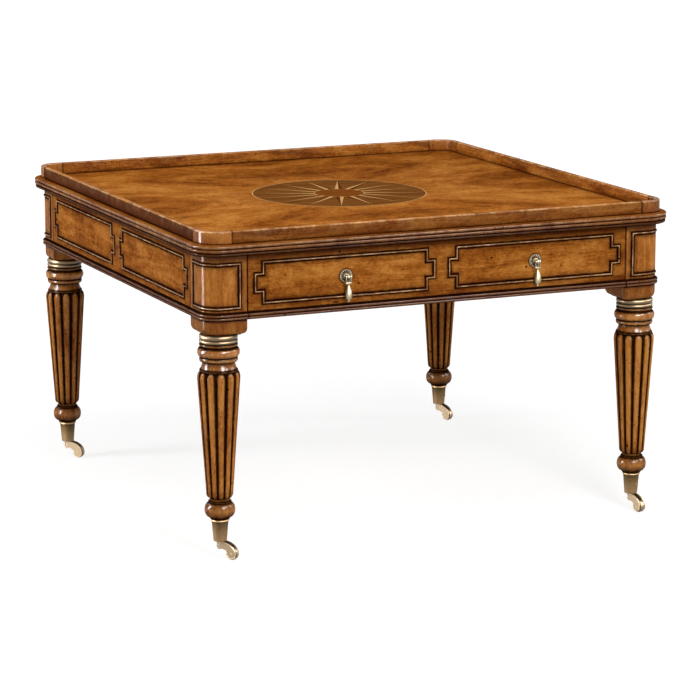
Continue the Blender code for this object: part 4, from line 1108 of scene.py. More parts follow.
class TABLE_OT_top(PieceOperator):
    """The top with its reeded edge, and the medallion set into it"""

    bl_idname = "coffee_table.top"
    bl_label = "Top and medallion"

    def build(self):
        self.board()
        self.star()

    def board(self):
        sizes = settings().mouldings
        corner = BODY_HALF - sizes.post_radius
        proud = TOP_HALF - BODY_HALF
        thickness = TABLE_LEVEL - TOP_LEVEL
        reeds = reeded_band(TOP_LEVEL, thickness, proud, sizes.edge_quirk, 3, 10, sizes.edge_setback)
        loops = []
        for reach, level in reeds:
            half = BODY_HALF + reach
            loops.append(rounded_square(half, half - corner, level))
        bm = bmesh.new()
        loop = open_loft(bm, loops)
        rim = [bm.edges.get(pair) for pair in zip(loop, loop[1:] + loop[:1])]
        radius = STAR_RADIUS + SEAT_GAP * 0.7
        circle = bmesh.ops.create_circle(bm, cap_ends=False, segments=160, radius=radius)["verts"]
        bmesh.ops.translate(bm, verts=circle, vec=(0, 0, TABLE_LEVEL))
        hole = list({edge for vert in circle for edge in vert.link_edges})
        bmesh.ops.triangle_fill(bm, edges=rim + hole, use_beauty=True)
        made = bmesh.ops.extrude_edge_only(bm, edges=hole)["geom"]
        depth = TABLE_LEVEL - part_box("star_medallion")[0][2] + SEAT_GAP
        lower = [item for item in made if isinstance(item, bmesh.types.BMVert)]
        bmesh.ops.translate(bm, verts=lower, vec=(0, 0, -depth))
        floor = [item for item in made if isinstance(item, bmesh.types.BMEdge) and item.is_boundary]
        bmesh.ops.edgeloop_fill(bm, edges=floor)
        piece(bm, "top_with_reeded_edge", "top", "table", "top_board")

    def star(self):
        low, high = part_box("star_medallion")
        bm = bmesh.new()
        bmesh.ops.create_cone(
            bm, cap_ends=True, segments=160, radius1=high[0], radius2=high[0], depth=high[2] - low[2]
        )
        bmesh.ops.translate(bm, verts=bm.verts, vec=(0, 0, (low[2] + high[2]) / 2))
        piece(bm, "inlaid_star", "star", "table", "star_medallion")


class TABLE_OT_gallery(PieceOperator):
    """The raised edge: four rails and four curved corner pieces"""

    bl_idname = "coffee_table.gallery"
    bl_label = "Gallery"

    ease = 0.0024
    joint = 0.0012

    def section(self, proud):
        """The upright section, as (inwards, height), with a rounded upper edge."""
        thick = GALLERY_THICKNESS
        ease = self.ease
        outer = arc((ease - proud, GALLERY_HIGH - ease), ease, 180, 90, 5)
        inner = arc((thick - ease, GALLERY_HIGH - ease), ease, 90, 0, 5)
        foot = [GALLERY_LOW, GALLERY_LOW + self.joint, GALLERY_LOW + 2.5 * self.joint]
        rising = [(-proud, level) for level in foot]
        falling = [(thick, level) for level in reversed(foot)]
        return [*rising, *outer, *inner, *falling]

    def shade(self, place):
        """Dark at the foot and the joints, with a painted highlight along the upper edges."""
        foot = dark_near(place.z, [GALLERY_LOW], 0.0015)
        across = min(abs(place.x), abs(place.y))
        joints = dark_near(across, [RAIL_REACH, -GALLERY_CORNER_END], self.joint)
        return max(foot, joints * 0.8), dark_near(place.z, [GALLERY_HIGH - self.ease * 0.4], 0.0010) * 0.95

    def rail(self, side, quarter):
        bm = bmesh.new()
        section = self.section(0.0)
        runs = [RAIL_REACH * step / 4 for step in range(4)] + [RAIL_REACH - 2 * self.joint, RAIL_REACH]
        runs = [-run for run in reversed(runs[1:])] + runs
        loft(bm, [[(x, inwards - GALLERY_HALF, z) for inwards, z in section] for x in runs])
        quarter_turned(bm, quarter)
        grain = "rail_x" if side in ("front", "back") else "rail_y"
        piece(bm, f"gallery_{side}", grain, "table", f"gallery_rail_{side}", shade=self.shade)

    def corner(self, corner, quarter):
        bm = bmesh.new()
        section = self.section(GALLERY_CORNER_HALF - GALLERY_HALF)
        centre = BODY_HALF - settings().mouldings.post_radius
        radius = GALLERY_HALF - centre
        ends = [GALLERY_CORNER_END, GALLERY_CORNER_END - 2 * self.joint]
        loops = [[(inwards - GALLERY_HALF, end, z) for inwards, z in section] for end in ends]
        for x, y in arc((0, 0), 1.0, 180, 270, 20):
            loop = []
            for inwards, z in section:
                reach = radius - inwards
                loop.append((reach * x - centre, reach * y - centre, z))
            loops.append(loop)
        for end in reversed(ends):
            loops.append([(end, inwards - GALLERY_HALF, z) for inwards, z in section])
        loft(bm, loops)
        quarter_turned(bm, quarter)
        node = f"gallery_corner_{corner}"
        piece(bm, f"gallery_turn_{corner}", "gallery_corner", "table", node, shade=self.shade)

    def build(self):
        for side, quarter in SIDES.items():
            self.rail(side, quarter)
        for corner, quarter in CORNERS.items():
            self.corner(corner, quarter)


def panel_beads(bm):
    """The raised beads of the two panels on the face at -Y."""
    sizes = settings().mouldings
    near = sizes.panel_near
    far = POST_INSIDE - sizes.panel_end
    low = PULL_LEVEL - sizes.panel_height / 2
    high = PULL_LEVEL + sizes.panel_height / 2
    step = sizes.notch_length
    rise = sizes.notch_height
    right = [
        (far - step, low),
        (far - step, low + rise),
        (far, low + rise),
        (far, high - rise),
        (far - step, high - rise),
        (far - step, high),
    ]
    outline = [(near + far - x, z) for x, z in reversed(right)] + right
    for side in (-1, 1):
        run = [(side * x, z) for x, z in outline]
        if side < 0:
            run.reverse()
        loops = []
        for inwards, proud in bead_section():
            loops.append([(x, -BODY_HALF - proud, z) for x, z in offset_loop(run, -inwards)])
        ring(bm, loops)


def band_points():
    """The double reed at the frieze's foot, as (proud, height)."""
    sizes = settings().mouldings
    proud = BAND_HALF - BODY_HALF
    ease = sizes.quirk_ease
    height = FRIEZE_LEVEL - BAND_LEVEL - 2 * ease
    reeds = reeded_band(BAND_LEVEL + ease, height, proud, sizes.band_quirk, 2, 10)
    return [(0, BAND_LEVEL), *reeds, (0, FRIEZE_LEVEL)]


class TABLE_OT_frieze(PieceOperator):
    """The three aprons and the rail below the drawer"""

    bl_idname = "coffee_table.frieze"
    bl_label = "Frieze"

    def board(self, bm, inner):
        """A board along the front, from an inner outline and the double reed."""
        section = inner + [(-BODY_HALF - proud, level) for proud, level in reversed(band_points())]
        loft(bm, [[(x, y, z) for y, z in section] for x in (-BAY_HALF, BAY_HALF)])

    def build(self):
        for side, quarter in SIDES.items():
            if side == "front":
                continue
            bm = bmesh.new()
            inner = [(-APRON_INSIDE, BAND_LEVEL), (-APRON_INSIDE, FRIEZE_TOP), (-BODY_HALF, FRIEZE_TOP)]
            self.board(bm, inner)
            panel_beads(bm)
            quarter_turned(bm, quarter)
            grain = "frieze_x" if side == "back" else "frieze_y"
            piece(bm, f"frieze_{side}", grain, "table", f"apron_{side}")
        bm = bmesh.new()
        self.board(bm, [(-POST_INSIDE, BAND_LEVEL), (-POST_INSIDE, FRIEZE_LEVEL)])
        piece(bm, "reeded_front_rail", "frieze_x", "table", "front_bottom_rail")


class TABLE_OT_drawer(PieceOperator):
    """The drawer front with its panels, and the boxed boards behind it"""

    bl_idname = "coffee_table.drawer"
    bl_label = "Drawer"

    def build(self):
        low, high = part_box("drawer_front")
        bm = bmesh.new()
        block(bm, (low[0], -BODY_HALF, low[2]), high, 0.0008)
        panel_beads(bm)
        piece(bm, "panelled_drawer_front", "drawer_x", "drawer", "drawer_front")
        for node in ("drawer_back", "drawer_bottom"):
            dressed(node, "bare_x")
        for node in ("drawer_side_left", "drawer_side_right"):
            dressed(node, "bare_y")


class TABLE_OT_carcass(PieceOperator):
    """The rail, runners and kickers inside the table"""

    bl_idname = "coffee_table.carcass"
    bl_label = "Carcass"

    def build(self):
        dressed("front_top_rail", "bare_x")
        for side in ("left", "right"):
            dressed(f"drawer_runner_{side}", "bare_y")
            dressed(f"drawer_kicker_{side}", "bare_y")


class TABLE_OT_posts(PieceOperator):
    """The four corner posts with their bead frames and moulded blocks"""

    bl_idname = "coffee_table.posts"
    bl_label = "Corner posts"

    def corner_line(self, outer):
        """The rounded outer corner, moved outwards."""
        radius = settings().mouldings.post_radius
        centre = radius - BODY_HALF
        return arc((centre, centre), radius + outer, 180, 270, 16)

    def plan(self, outer, inner, level):
        front = -BODY_HALF - outer
        back = -POST_INSIDE + inner
        corner = self.corner_line(outer)
        return [(x, y, level) for x, y in [(back, front), (back, back), (front, back), *corner]]

    def bead_frame(self, bm):
        sizes = settings().mouldings
        low = FRIEZE_LEVEL + sizes.post_low
        high = PULL_LEVEL + sizes.panel_height / 2
        loops = []
        for inwards, proud in bead_section():
            end = -POST_INSIDE - sizes.post_margin - inwards
            run = [(-BODY_HALF - proud, end), *self.corner_line(proud), (end, -BODY_HALF - proud)]
            upper = [(x, y, high - inwards) for x, y in run]
            lower = [(x, y, low + inwards) for x, y in reversed(run)]
            loops.append(upper + lower)
        ring(bm, loops)

    def build(self):
        sizes = settings().mouldings
        loops = [self.plan(-sizes.block_depth, -sizes.block_depth, POST_LEVEL)]
        for sine, cosine in swing(10):
            inset = sizes.block_depth * (1 - sine) * 0.95
            level = POST_LEVEL + sizes.block_fillet + sizes.block_height * (1 - cosine)
            loops.append(self.plan(-inset, -inset, level))
        loops += [self.plan(proud, 0, level) for proud, level in band_points()]
        loops.append(self.plan(0, 0, FRIEZE_TOP))
        for corner, quarter in CORNERS.items():
            bm = bmesh.new()
            loft(bm, loops)
            self.bead_frame(bm)
            quarter_turned(bm, quarter)
            piece(bm, f"post_{corner}", "post", "table", f"corner_post_{corner}")


def leg_levels():
    """Heights above the floor of the leg's turnings."""
    sizes = settings().leg
    levels = SimpleNamespace(foot=CUP_TOP + SEAT_GAP)
    levels.bun = levels.foot + sizes.foot_ring
    levels.ankle = levels.bun + sizes.bun
    levels.hollow = levels.ankle + sizes.astragal
    levels.shaft = levels.ankle + sizes.ankle
    levels.tips = levels.shaft + sizes.shaft - sizes.fillet
    levels.neck = levels.shaft + sizes.shaft + sizes.fillet
    levels.small_ring = levels.neck + sizes.neck
    levels.bead = levels.small_ring + sizes.small_ring
    levels.thread = levels.bead + sizes.bead
    levels.wood_ring = levels.thread + sizes.thread
    levels.spigot = levels.thread + sizes.wood_ring
    return levels


class TABLE_OT_legs(PieceOperator):
    """The four turned and reeded legs"""

    bl_idname = "coffee_table.legs"
    bl_label = "Legs"

    columns_per_reed = 20

    def lower_outline(self, sizes, levels):
        """Toe, foot ring, bun, astragal and ankle, as (radius, height)."""
        cup = settings().caster
        toe = cup.cup_foot - cup.cup_wall - SEAT_GAP
        root = sizes.foot_ring_radius - sizes.quirk * 0.7
        points = [(0, TOE_LEVEL), (toe, TOE_LEVEL)]
        points += [(cup.cup_head - cup.cup_wall - SEAT_GAP, levels.foot)]
        points += bulge(levels.foot, levels.bun, root, sizes.foot_ring_radius, 8)
        points += bulge(levels.bun, levels.ankle, sizes.ankle_radius, sizes.bun_radius, 24)
        points += bulge(levels.ankle, levels.hollow, sizes.ankle_radius, sizes.ankle_radius * 1.13, 8)
        waist = sizes.ankle_radius * 0.02
        for up in shares(6)[:-1]:
            radius = sizes.ankle_radius - waist * math.sin(math.pi * up)
            points.append((radius, levels.hollow + (levels.shaft - levels.hollow) * up))
        return points

    def shaft_outline(self, sizes, levels):
        """The envelope of the reeds."""
        points = []
        for sine, cosine in swing(14):
            radius = sizes.ankle_radius + (sizes.foot_radius - sizes.ankle_radius) * sine
            points.append((radius, levels.shaft + sizes.reed_foot * (1 - cosine)))
        low = levels.shaft + sizes.reed_foot
        high = levels.tips - sizes.reed_tip
        for up in shares(24)[:-1]:
            radius = sizes.foot_radius + (sizes.head_radius - sizes.foot_radius) * up
            points.append((radius, low + (high - low) * up))
        for sine, cosine in swing(20):
            radius = sizes.top_radius + (sizes.head_radius - sizes.top_radius) * cosine
            points.append((radius, high + sizes.reed_tip * sine))
        return points

    def upper_outline(self, sizes, levels):
        """Fillet, neck, rings, bead and the spigot for the gilt rings."""
        points = bulge(levels.tips, levels.neck, sizes.top_radius, sizes.top_radius * 1.035, 6)[1:]
        for up in shares(12):
            radius = sizes.neck_radius + (sizes.top_radius - sizes.neck_radius) * (1 - up) ** 1.6
            points.append((radius, levels.neck + (sizes.neck - sizes.quirk / 3) * up))
        ring_root = sizes.ring_radius - sizes.quirk
        points += bulge(levels.small_ring, levels.bead, ring_root, sizes.ring_radius, 12)
        points += bulge(levels.bead, levels.thread, ring_root, sizes.bead_radius, 20)
        points += bulge(levels.thread, levels.wood_ring, ring_root, sizes.ring_radius - sizes.quirk / 2, 6)
        points += bulge(levels.wood_ring, levels.spigot, ring_root, sizes.ring_radius, 12)
        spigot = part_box("leg_collar_front_left")
        inner = (spigot[1][0] - spigot[0][0]) / 2 - sizes.quirk * 3
        return points + [(inner, levels.spigot), (inner, COLLAR_HIGH), (0, COLLAR_HIGH)]

    def across_reed(self, angle, level):
        """From 0 on a reed's crest to 1 in the groove, where the tips and feet narrow."""
        sizes, levels = self.sizes, self.levels
        turn = (angle / math.tau * self.reeds) % 1.0
        across = abs(turn * 2 - 1)
        end = 0.0
        if level > levels.tips - sizes.reed_tip:
            end = (level - levels.tips + sizes.reed_tip) / sizes.reed_tip
        elif level < levels.shaft + sizes.reed_foot:
            end = (levels.shaft + sizes.reed_foot - level) / sizes.reed_foot * 0.9
        width = math.sqrt(max(0.02, 1 - min(1.0, end) ** 2.4))
        return min(1.0, across / width)

    def shade(self):
        """Dark in the quirks and grooves from glaze and painted shade, with painted shade on the bun and
        the neck; lighter on the rings and the reeds' crests and tips from wear and painted highlights.
        """
        sizes, levels = self.sizes, self.levels
        quirks = list(vars(levels).values())
        crests = [(levels.small_ring + levels.bead) / 2, (levels.bead + levels.thread) / 2]
        crests += [(levels.wood_ring + levels.spigot) / 2, (levels.tips + levels.neck) / 2]

        def value(place):
            dark = dark_near(place.z, quirks, 0.0026)
            light = dark_near(place.z, crests, 0.0016) * 0.35
            # Painted shade low and high on the bun
            if place.z < levels.ankle:
                share_up = (place.z - levels.bun) / sizes.bun
                dark = max(dark, 0.95 - 1.5 * share_up, 1.2 * share_up - 0.5, 0.2)
            # Painted shade on the neck, deepening towards the ring above
            elif levels.neck < place.z < levels.small_ring:
                dark = max(dark, 0.7 * (place.z - levels.neck) / sizes.neck - 0.1)
            elif levels.shaft <= place.z <= levels.tips:
                across = self.across_reed(math.atan2(place.y, place.x) % math.tau, place.z)
                groove = min(1.0, max(0.0, (across - 0.46) / 0.26)) ** 1.2
                # Darker at the reeds' feet
                foot = dark_near(place.z, [levels.shaft], sizes.reed_foot * 2) * 0.5
                dark = max(dark * 0.8, groove, foot)
                # Painted highlight with wear on the reeds' crests, brightest at the tips
                crest = max(0.0, 1 - across / 0.6)
                tip = dark_near(place.z, [levels.tips - sizes.reed_tip * 0.25], sizes.reed_tip * 0.22)
                light = max(crest * 0.18, crest * tip * 0.9)
            return dark, light

        return value

    def reeded(self, bm):
        """Sinks the grooves between the reeds."""
        levels = self.levels
        for vert in bm.verts:
            if levels.shaft <= vert.co.z <= levels.tips:
                across = self.across_reed(math.atan2(vert.co.y, vert.co.x) % math.tau, vert.co.z)
                reach = 1 - self.sizes.groove * (1 - math.sqrt(max(0.0, 1 - across**2)))
                vert.co.x *= reach
                vert.co.y *= reach

    def build(self):
        sizes = settings().leg
        self.sizes = SimpleNamespace(**{key: getattr(sizes, key) for key in LegSizes.__annotations__})
        self.levels = leg_levels()
        self.reeds = sizes.reeds
        outline = self.lower_outline(self.sizes, self.levels)
        outline += self.shaft_outline(self.sizes, self.levels)
        outline += self.upper_outline(self.sizes, self.levels)
        turned = bmesh.new()
        spun(turned, outline, self.reeds * self.columns_per_reed)
        bmesh.ops.remove_doubles(turned, verts=turned.verts, dist=SAME_PLACE)
        self.reeded(turned)
        painted(turned, self.shade())
        for corner in CORNERS:
            bm = turned.copy()
            bmesh.ops.translate(bm, verts=bm.verts, vec=(*leg_centre(corner), 0))
            piece(bm, f"reeded_leg_{corner}", "leg", "table", f"leg_{corner}", angle=50)
        turned.free()


class TABLE_OT_collars(PieceOperator):
    """The gilt rings between the legs and the posts"""

    bl_idname = "coffee_table.collars"
    bl_label = "Gilt rings"

    def build(self):
        sizes = settings().leg
        low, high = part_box("leg_collar_front_left")
        crest = (high[0] - low[0]) / 2
        root = crest - sizes.quirk
        inner = crest - sizes.quirk * 3 + SEAT_GAP
        gap = 0.0009
        height = (COLLAR_HIGH - COLLAR_LOW - 2 * gap) / 2
        heights = [height * 0.84, height * 1.16]
        starts = [COLLAR_LOW + gap / 2, COLLAR_LOW + gap * 1.5 + heights[0]]
        outline = [(inner, COLLAR_LOW), (root, COLLAR_LOW)]
        for start, tall in zip(starts, heights):
            outline += bulge(start, start + tall, root, crest, 14)
        outline += [(root, COLLAR_HIGH), (inner, COLLAR_HIGH)]
        quirks = [COLLAR_LOW, COLLAR_LOW + gap + heights[0], COLLAR_HIGH]
        crests = [start + tall * 0.6 for start, tall in zip(starts, heights)]

        # Glaze and painted shade in the quirks, wear and a painted highlight on the rings' crests
        def shade(place):
            return dark_near(place.z, quirks, 0.0011), dark_near(place.z, crests, 0.0018) * 0.35

        for corner in CORNERS:
            bm = bmesh.new()
            spun(bm, outline, 96, leg_centre(corner), closed=True)
            piece(bm, f"gilt_rings_{corner}", "gilt", "table", f"leg_collar_{corner}", shade=shade)


class TABLE_OT_casters(PieceOperator):
    """The four brass casters: cup, horn, wheel and axle"""

    bl_idname = "coffee_table.casters"
    bl_label = "Casters"

    ease = 0.0004
    screw_degrees = {"front_left": 120, "front_right": -70, "back_right": -35, "back_left": 100}

    def cup(self, corner):
        sizes = settings().caster
        centre = leg_centre(corner)
        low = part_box(f"caster_cup_{corner}")[0][2]
        ease = self.ease
        hub_low = HORN_TOP - sizes.hub_height - SEAT_GAP
        base = HORN_TOP + SEAT_GAP
        lip = CUP_TOP - sizes.lip_height - ease
        outline = [(0, low), (sizes.pin_head - 1.5 * ease, low), (sizes.pin_head, low + 1.5 * ease)]
        outline += [(sizes.pin_head, hub_low - ease), (sizes.pin_head - ease, hub_low)]
        outline += [(sizes.pin_radius, hub_low), (sizes.pin_radius, base), (sizes.cup_foot - ease, base)]
        outline += [(sizes.cup_foot, base + ease), (sizes.cup_head - ease, lip)]
        outline += bulge(lip + ease, CUP_TOP - ease, sizes.cup_head, sizes.cup_lip, 10)
        outline += [(sizes.cup_head, CUP_TOP), (sizes.cup_head - sizes.cup_wall, CUP_TOP)]
        outline += [(sizes.cup_foot - sizes.cup_wall, base + sizes.cup_floor), (0, base + sizes.cup_floor)]
        bm = bmesh.new()
        spun(bm, outline, 72, centre)
        self.screw(bm, corner, (base + lip) / 2)

        # Dark at the lip's joint, painted shade below the cup's floor, and wear with a painted highlight on
        # the lip
        def shade(place):
            joint = dark_near(place.z, [lip], 0.0007) * 0.9
            crest = dark_near(place.z, [CUP_TOP - sizes.lip_height * 0.4], 0.0010)
            return max(joint, 0.3 if place.z < base else 0.0), crest

        piece(bm, f"socket_{corner}", "cup", "table", f"caster_cup_{corner}", angle=40, shade=shade)

    def screw(self, bm, corner, level):
        """The small domed screw that holds the cup to the leg."""
        sizes = settings().caster
        centre = leg_centre(corner)
        radius = (sizes.cup_foot + sizes.cup_head) / 2
        angle = math.radians(self.screw_degrees[corner])
        made = bmesh.ops.create_uvsphere(bm, u_segments=20, v_segments=10, radius=sizes.axle_radius * 0.85)
        for vert in made["verts"]:
            x, y = rotated(vert.co.z * 0.45 + radius, vert.co.x, angle)
            vert.co = (centre[0] + x, centre[1] + y, level + vert.co.y)

    def cheek_outline(self, trail, inset):
        """A cheek seen from the side, moved inwards: an arched arm that ends in a disc."""
        sizes = settings().caster
        hub = sizes.hub_radius - inset
        far = trail + sizes.disc_radius - inset
        near = trail - sizes.disc_radius + inset
        arch = HORN_TOP - sizes.horn_thickness + inset
        top = HORN_TOP - inset
        points = [(inset, arch), (hub, arch)]
        for sine, cosine in swing(10)[1:-1]:
            points.append((hub + (near - hub) * sine, WHEEL_RADIUS + (arch - WHEEL_RADIUS) * cosine))
        points += arc((trail, WHEEL_RADIUS), sizes.disc_radius - inset, 180, 360, 24)
        crown = hub / 2
        for sine, cosine in swing(14)[1:-1]:
            points.append((crown + (far - crown) * cosine, WHEEL_RADIUS + (top - WHEEL_RADIUS) * sine))
        return points + [(crown, top), (inset, top)]

    def cheek(self, bm, side, trail):
        """One cheek, drawn along +X, with a raised rim round its outer face."""
        sizes = settings().caster
        ease = self.ease
        rim = sizes.rim
        inner = sizes.cheek_inside
        outer = inner + sizes.cheek
        loops = [(inner, 0.0), (outer - ease, 0.0), (outer, ease), (outer, rim), (outer - ease, rim + ease)]
        loft(bm, [[(x, side * y, z) for x, z in self.cheek_outline(trail, inset)] for y, inset in loops])

    def horn(self, corner, turn, trail):
        sizes = settings().caster
        bm = bmesh.new()
        low = HORN_TOP - sizes.hub_height
        bore = sizes.pin_radius + SEAT_GAP
        ease = self.ease
        hub = sizes.hub_radius
        outline = [(bore, low), (hub - ease, low), (hub, low + ease)]
        outline += [(hub, HORN_TOP - ease), (hub - ease, HORN_TOP), (bore, HORN_TOP)]
        spun(bm, outline, 48, closed=True)
        self.cheek(bm, 1, trail)
        self.cheek(bm, -1, trail)
        inner = sizes.cheek_inside + ease
        arch = HORN_TOP - sizes.horn_thickness
        bridge = (hub + ease, inner, HORN_TOP - 2 * ease)
        block(bm, (bore + ease, -inner, arch + ease), bridge, ease)
        centre = Vector((*leg_centre(corner), 0))
        for vert in bm.verts:
            vert.co = centre + Vector((*rotated(vert.co.x, vert.co.y, turn), vert.co.z))
        outer = sizes.cheek_inside + sizes.cheek

        # Painted shade on the cheeks' inner faces, wear with a painted highlight on their outer faces
        def shade(place):
            offset = place - centre
            across = abs(offset.y * math.cos(turn) - offset.x * math.sin(turn))
            inside = 0.75 if across < sizes.cheek_inside + ease / 2 else 0.0
            return inside, 0.7 if across > outer - ease / 2 else 0.0

        body = f"caster_{corner}"
        piece(bm, f"fork_{corner}", "horn", body, f"caster_horn_{corner}", angle=40, shade=shade)

    def laid(self, bm, corner, turn):
        """Moves what was made round +Z to the wheel's axis."""
        place = Vector(JOINTS[f"wheel_{corner}_roll"]["pos_m"])
        for vert in bm.verts:
            vert.co = place + Vector((*rotated(vert.co.x, vert.co.z, turn), vert.co.y))

    def wheel(self, corner, turn):
        sizes = settings().caster
        half = sizes.wheel_width / 2
        bore = sizes.axle_radius + SEAT_GAP
        dish = self.ease
        tread = 2 * self.ease
        rim = WHEEL_RADIUS - tread
        outline = [(bore, -half), (2 * bore, -half), (2 * bore + dish, dish - half)]
        outline += [(rim - 2 * dish, dish - half), (rim - dish, -half), (rim, -half)]
        for angle in (0.5, 1.0):
            outline.append((rim + tread * math.sin(angle), tread * (1 - math.cos(angle)) - half))
        outline += [(WHEEL_RADIUS, tread - half), (WHEEL_RADIUS, 0)]
        outline += [(radius, -along) for radius, along in reversed(outline[:-1])]
        bm = bmesh.new()
        spun(bm, outline, 64, closed=True)
        self.laid(bm, corner, turn)
        body, node = f"wheel_{corner}", f"caster_wheel_{corner}"
        piece(bm, f"roller_{corner}", "horn", body, node, angle=40, shade=lambda place: (0.35, 0.0))

    def axle(self, corner, turn):
        sizes = settings().caster
        reach = sizes.cheek_inside + sizes.cheek
        ease = self.ease
        outline = [(0, -reach), (sizes.axle_radius - ease, -reach), (sizes.axle_radius, ease - reach)]
        outline += [(radius, -along) for radius, along in reversed(outline)]
        bm = bmesh.new()
        spun(bm, outline, 32)
        self.laid(bm, corner, turn)
        body, node = f"caster_{corner}", f"caster_axle_{corner}"
        piece(bm, f"axle_{corner}", "horn", body, node, angle=40, shade=lambda place: (0.0, 0.2))

    def build(self):
        for corner in CORNERS:
            centre = Vector(leg_centre(corner))
            axle = Vector(JOINTS[f"wheel_{corner}_roll"]["pos_m"][:2])
            turn = math.atan2(axle.y - centre.y, axle.x - centre.x)
            self.cup(corner)
            self.horn(corner, turn, (axle - centre).length)
            self.wheel(corner, turn)
            self.axle(corner, turn)


class TABLE_OT_pulls(PieceOperator):
    """The two drop pulls"""

    bl_idname = "coffee_table.pulls"
    bl_label = "Drop pulls"

    def laid(self, bm, place):
        """Lays what was made round +Z on the drawer front, with its top towards -Y."""
        for vert in bm.verts:
            x, y, z = vert.co
            vert.co = (place[0] + x, place[1] - z, place[2] + y)

    def petal(self, x, z):
        """How much a point lies on the petals, and how deep between two of them."""
        sizes = settings().pull
        radius = math.hypot(x, z)
        inner = (radius - sizes.knob_radius * 1.1) / 0.0009
        outer = (sizes.plate_radius - sizes.plate_rim - radius) / 0.0008
        window = min(1.0, max(0.0, inner)) * min(1.0, max(0.0, outer))
        twist = math.pi * (radius - sizes.knob_radius) / (sizes.plate_radius - sizes.knob_radius)
        turn = math.atan2(z, x) * sizes.petals
        grooves = [(0.5 - 0.5 * math.cos(turn + side * twist)) ** 2 for side in (-1, 1)]
        return window, max(grooves)

    def plate(self, side, x):
        sizes = settings().pull
        edge = sizes.plate_radius
        rim = sizes.plate_rim
        bore = sizes.shank_radius + SEAT_GAP
        low = sizes.plate_dome * 0.38
        outline = [(bore, 0), (edge - rim / 6, 0), (edge, rim / 4), (edge, low * 0.8)]
        outline += [(edge - rim / 3, low * 1.3), (edge - rim * 0.75, low * 1.3), (edge - rim, low)]
        for inwards in shares(16):
            radius = edge - rim - (edge - rim - sizes.knob_radius) * inwards
            outline.append((radius, low + (sizes.plate_dome - low) * math.sin(math.pi / 2 * inwards)))
        outline += [(bore, sizes.plate_dome)]
        bm = bmesh.new()
        spun(bm, outline, sizes.petals * 10, closed=True)
        for vert in bm.verts:
            if vert.co.z > low * 0.9:
                window, between = self.petal(vert.co.x, vert.co.y)
                vert.co.z -= window * between * low * 0.9
        self.laid(bm, (x, -BODY_HALF - SEAT_GAP, PULL_LEVEL))

        # Tarnish and painted shade between the petals and in the rim's groove, a painted shadow behind the
        # stirrup's arms, and wear with a painted highlight on the petals and the rim
        def shade(place):
            window, between = self.petal(place.x - x, place.z - PULL_LEVEL)
            radius = math.hypot(place.x - x, place.z - PULL_LEVEL)
            groove = dark_near(radius, [edge - rim], 0.0004)
            if abs(place.x - x) < sizes.arm_inside and place.z < PULL_LEVEL - sizes.knob_radius / 2:
                groove = 0.85
            crest = window * max(0.0, 1 - 3 * between) + dark_near(radius, [edge - rim / 2], 0.0005)
            return max(window * between * 1.8, groove), crest * 0.6

        piece(bm, f"petalled_plate_{side}", "pull", "drawer", f"pull_rosette_{side}", shade=shade)

    def shank(self, side, x):
        sizes = settings().pull
        low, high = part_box(f"pull_post_{side}")
        front = -low[1] - BODY_HALF
        tail = -high[1] - BODY_HALF
        knob = sizes.knob_radius
        seat = sizes.plate_dome + 2 * SEAT_GAP
        waist = front - 1.75 * knob
        outline = [(0, tail), (sizes.shank_radius, tail), (sizes.shank_radius, seat), (knob, seat)]
        outline += [(knob, seat + knob / 3), (knob * 0.75, seat + knob / 2), (knob * 0.72, waist)]
        outline += bulge(waist, front, 0, knob, 14)[2:]
        bm = bmesh.new()
        spun(bm, outline, 40)
        self.laid(bm, (x, -BODY_HALF, PULL_LEVEL))
        rod(bm, sizes.pin_radius, (x, PULL_AXIS, PULL_LEVEL), high[0] - low[0], 24)

        # Painted shade on the bolt behind the knob, wear with a painted highlight on the knob
        def shade(place):
            deep = -BODY_HALF - place.y
            return (0.0, 0.6) if deep > waist + knob * 0.5 else (0.7, 0.0)

        piece(bm, f"knob_{side}", "pull", "drawer", f"pull_post_{side}", angle=40, shade=shade)

    def tear_outline(self):
        """The drop from the ball upwards, as (radius, height)."""
        sizes = settings().pull
        bar_low = PULL_LEVEL - sizes.arm_length - sizes.bar_height
        ball_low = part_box("pull_drop_left")[0][2]
        tear_low = ball_low + 2 * sizes.ball_radius
        widest = bar_low - (bar_low - tear_low) * 0.72
        outline = bulge(ball_low, tear_low, 0, sizes.ball_radius, 14)[:-2]
        tip = sizes.tip_radius * 0.8
        for sine, cosine in swing(14):
            height = tear_low + (widest - tear_low) * (1 - cosine)
            outline.append((tip + (sizes.tear_radius - tip) * sine, height))
        for up in shares(18):
            swell = (1 + math.cos(math.pi * up)) / 2
            radius = sizes.neck_radius + (sizes.tear_radius - sizes.neck_radius) * swell
            outline.append((radius, widest + (bar_low - widest) * up))
        inside = bar_low + sizes.bar_height / 4
        return [*outline, (sizes.neck_radius, inside), (0, inside)], bar_low, tear_low

    def drop(self, side, x):
        sizes = settings().pull
        outline, bar_low, tear_low = self.tear_outline()
        bm = bmesh.new()
        spun(bm, outline, 48, (x, PULL_AXIS))
        inner = sizes.arm_inside
        outer = inner + sizes.arm
        ease = sizes.arm / 3
        reach = sizes.eye_radius * 0.65
        for hand in (-1, 1):
            rod(bm, sizes.eye_radius, (x + hand * (inner + outer) / 2, PULL_AXIS, PULL_LEVEL), sizes.arm)
            near, far = sorted((hand * inner, hand * outer))
            low = (x + near, PULL_AXIS - reach, bar_low + ease)
            block(bm, low, (x + far, PULL_AXIS + reach, PULL_LEVEL - ease), ease)
        half = outer + sizes.bar_proud
        depth = sizes.eye_radius * 0.95
        low = (x - half, PULL_AXIS - depth, bar_low)
        block(bm, low, (x + half, PULL_AXIS + depth, bar_low + sizes.bar_height), ease * 1.2, 3)

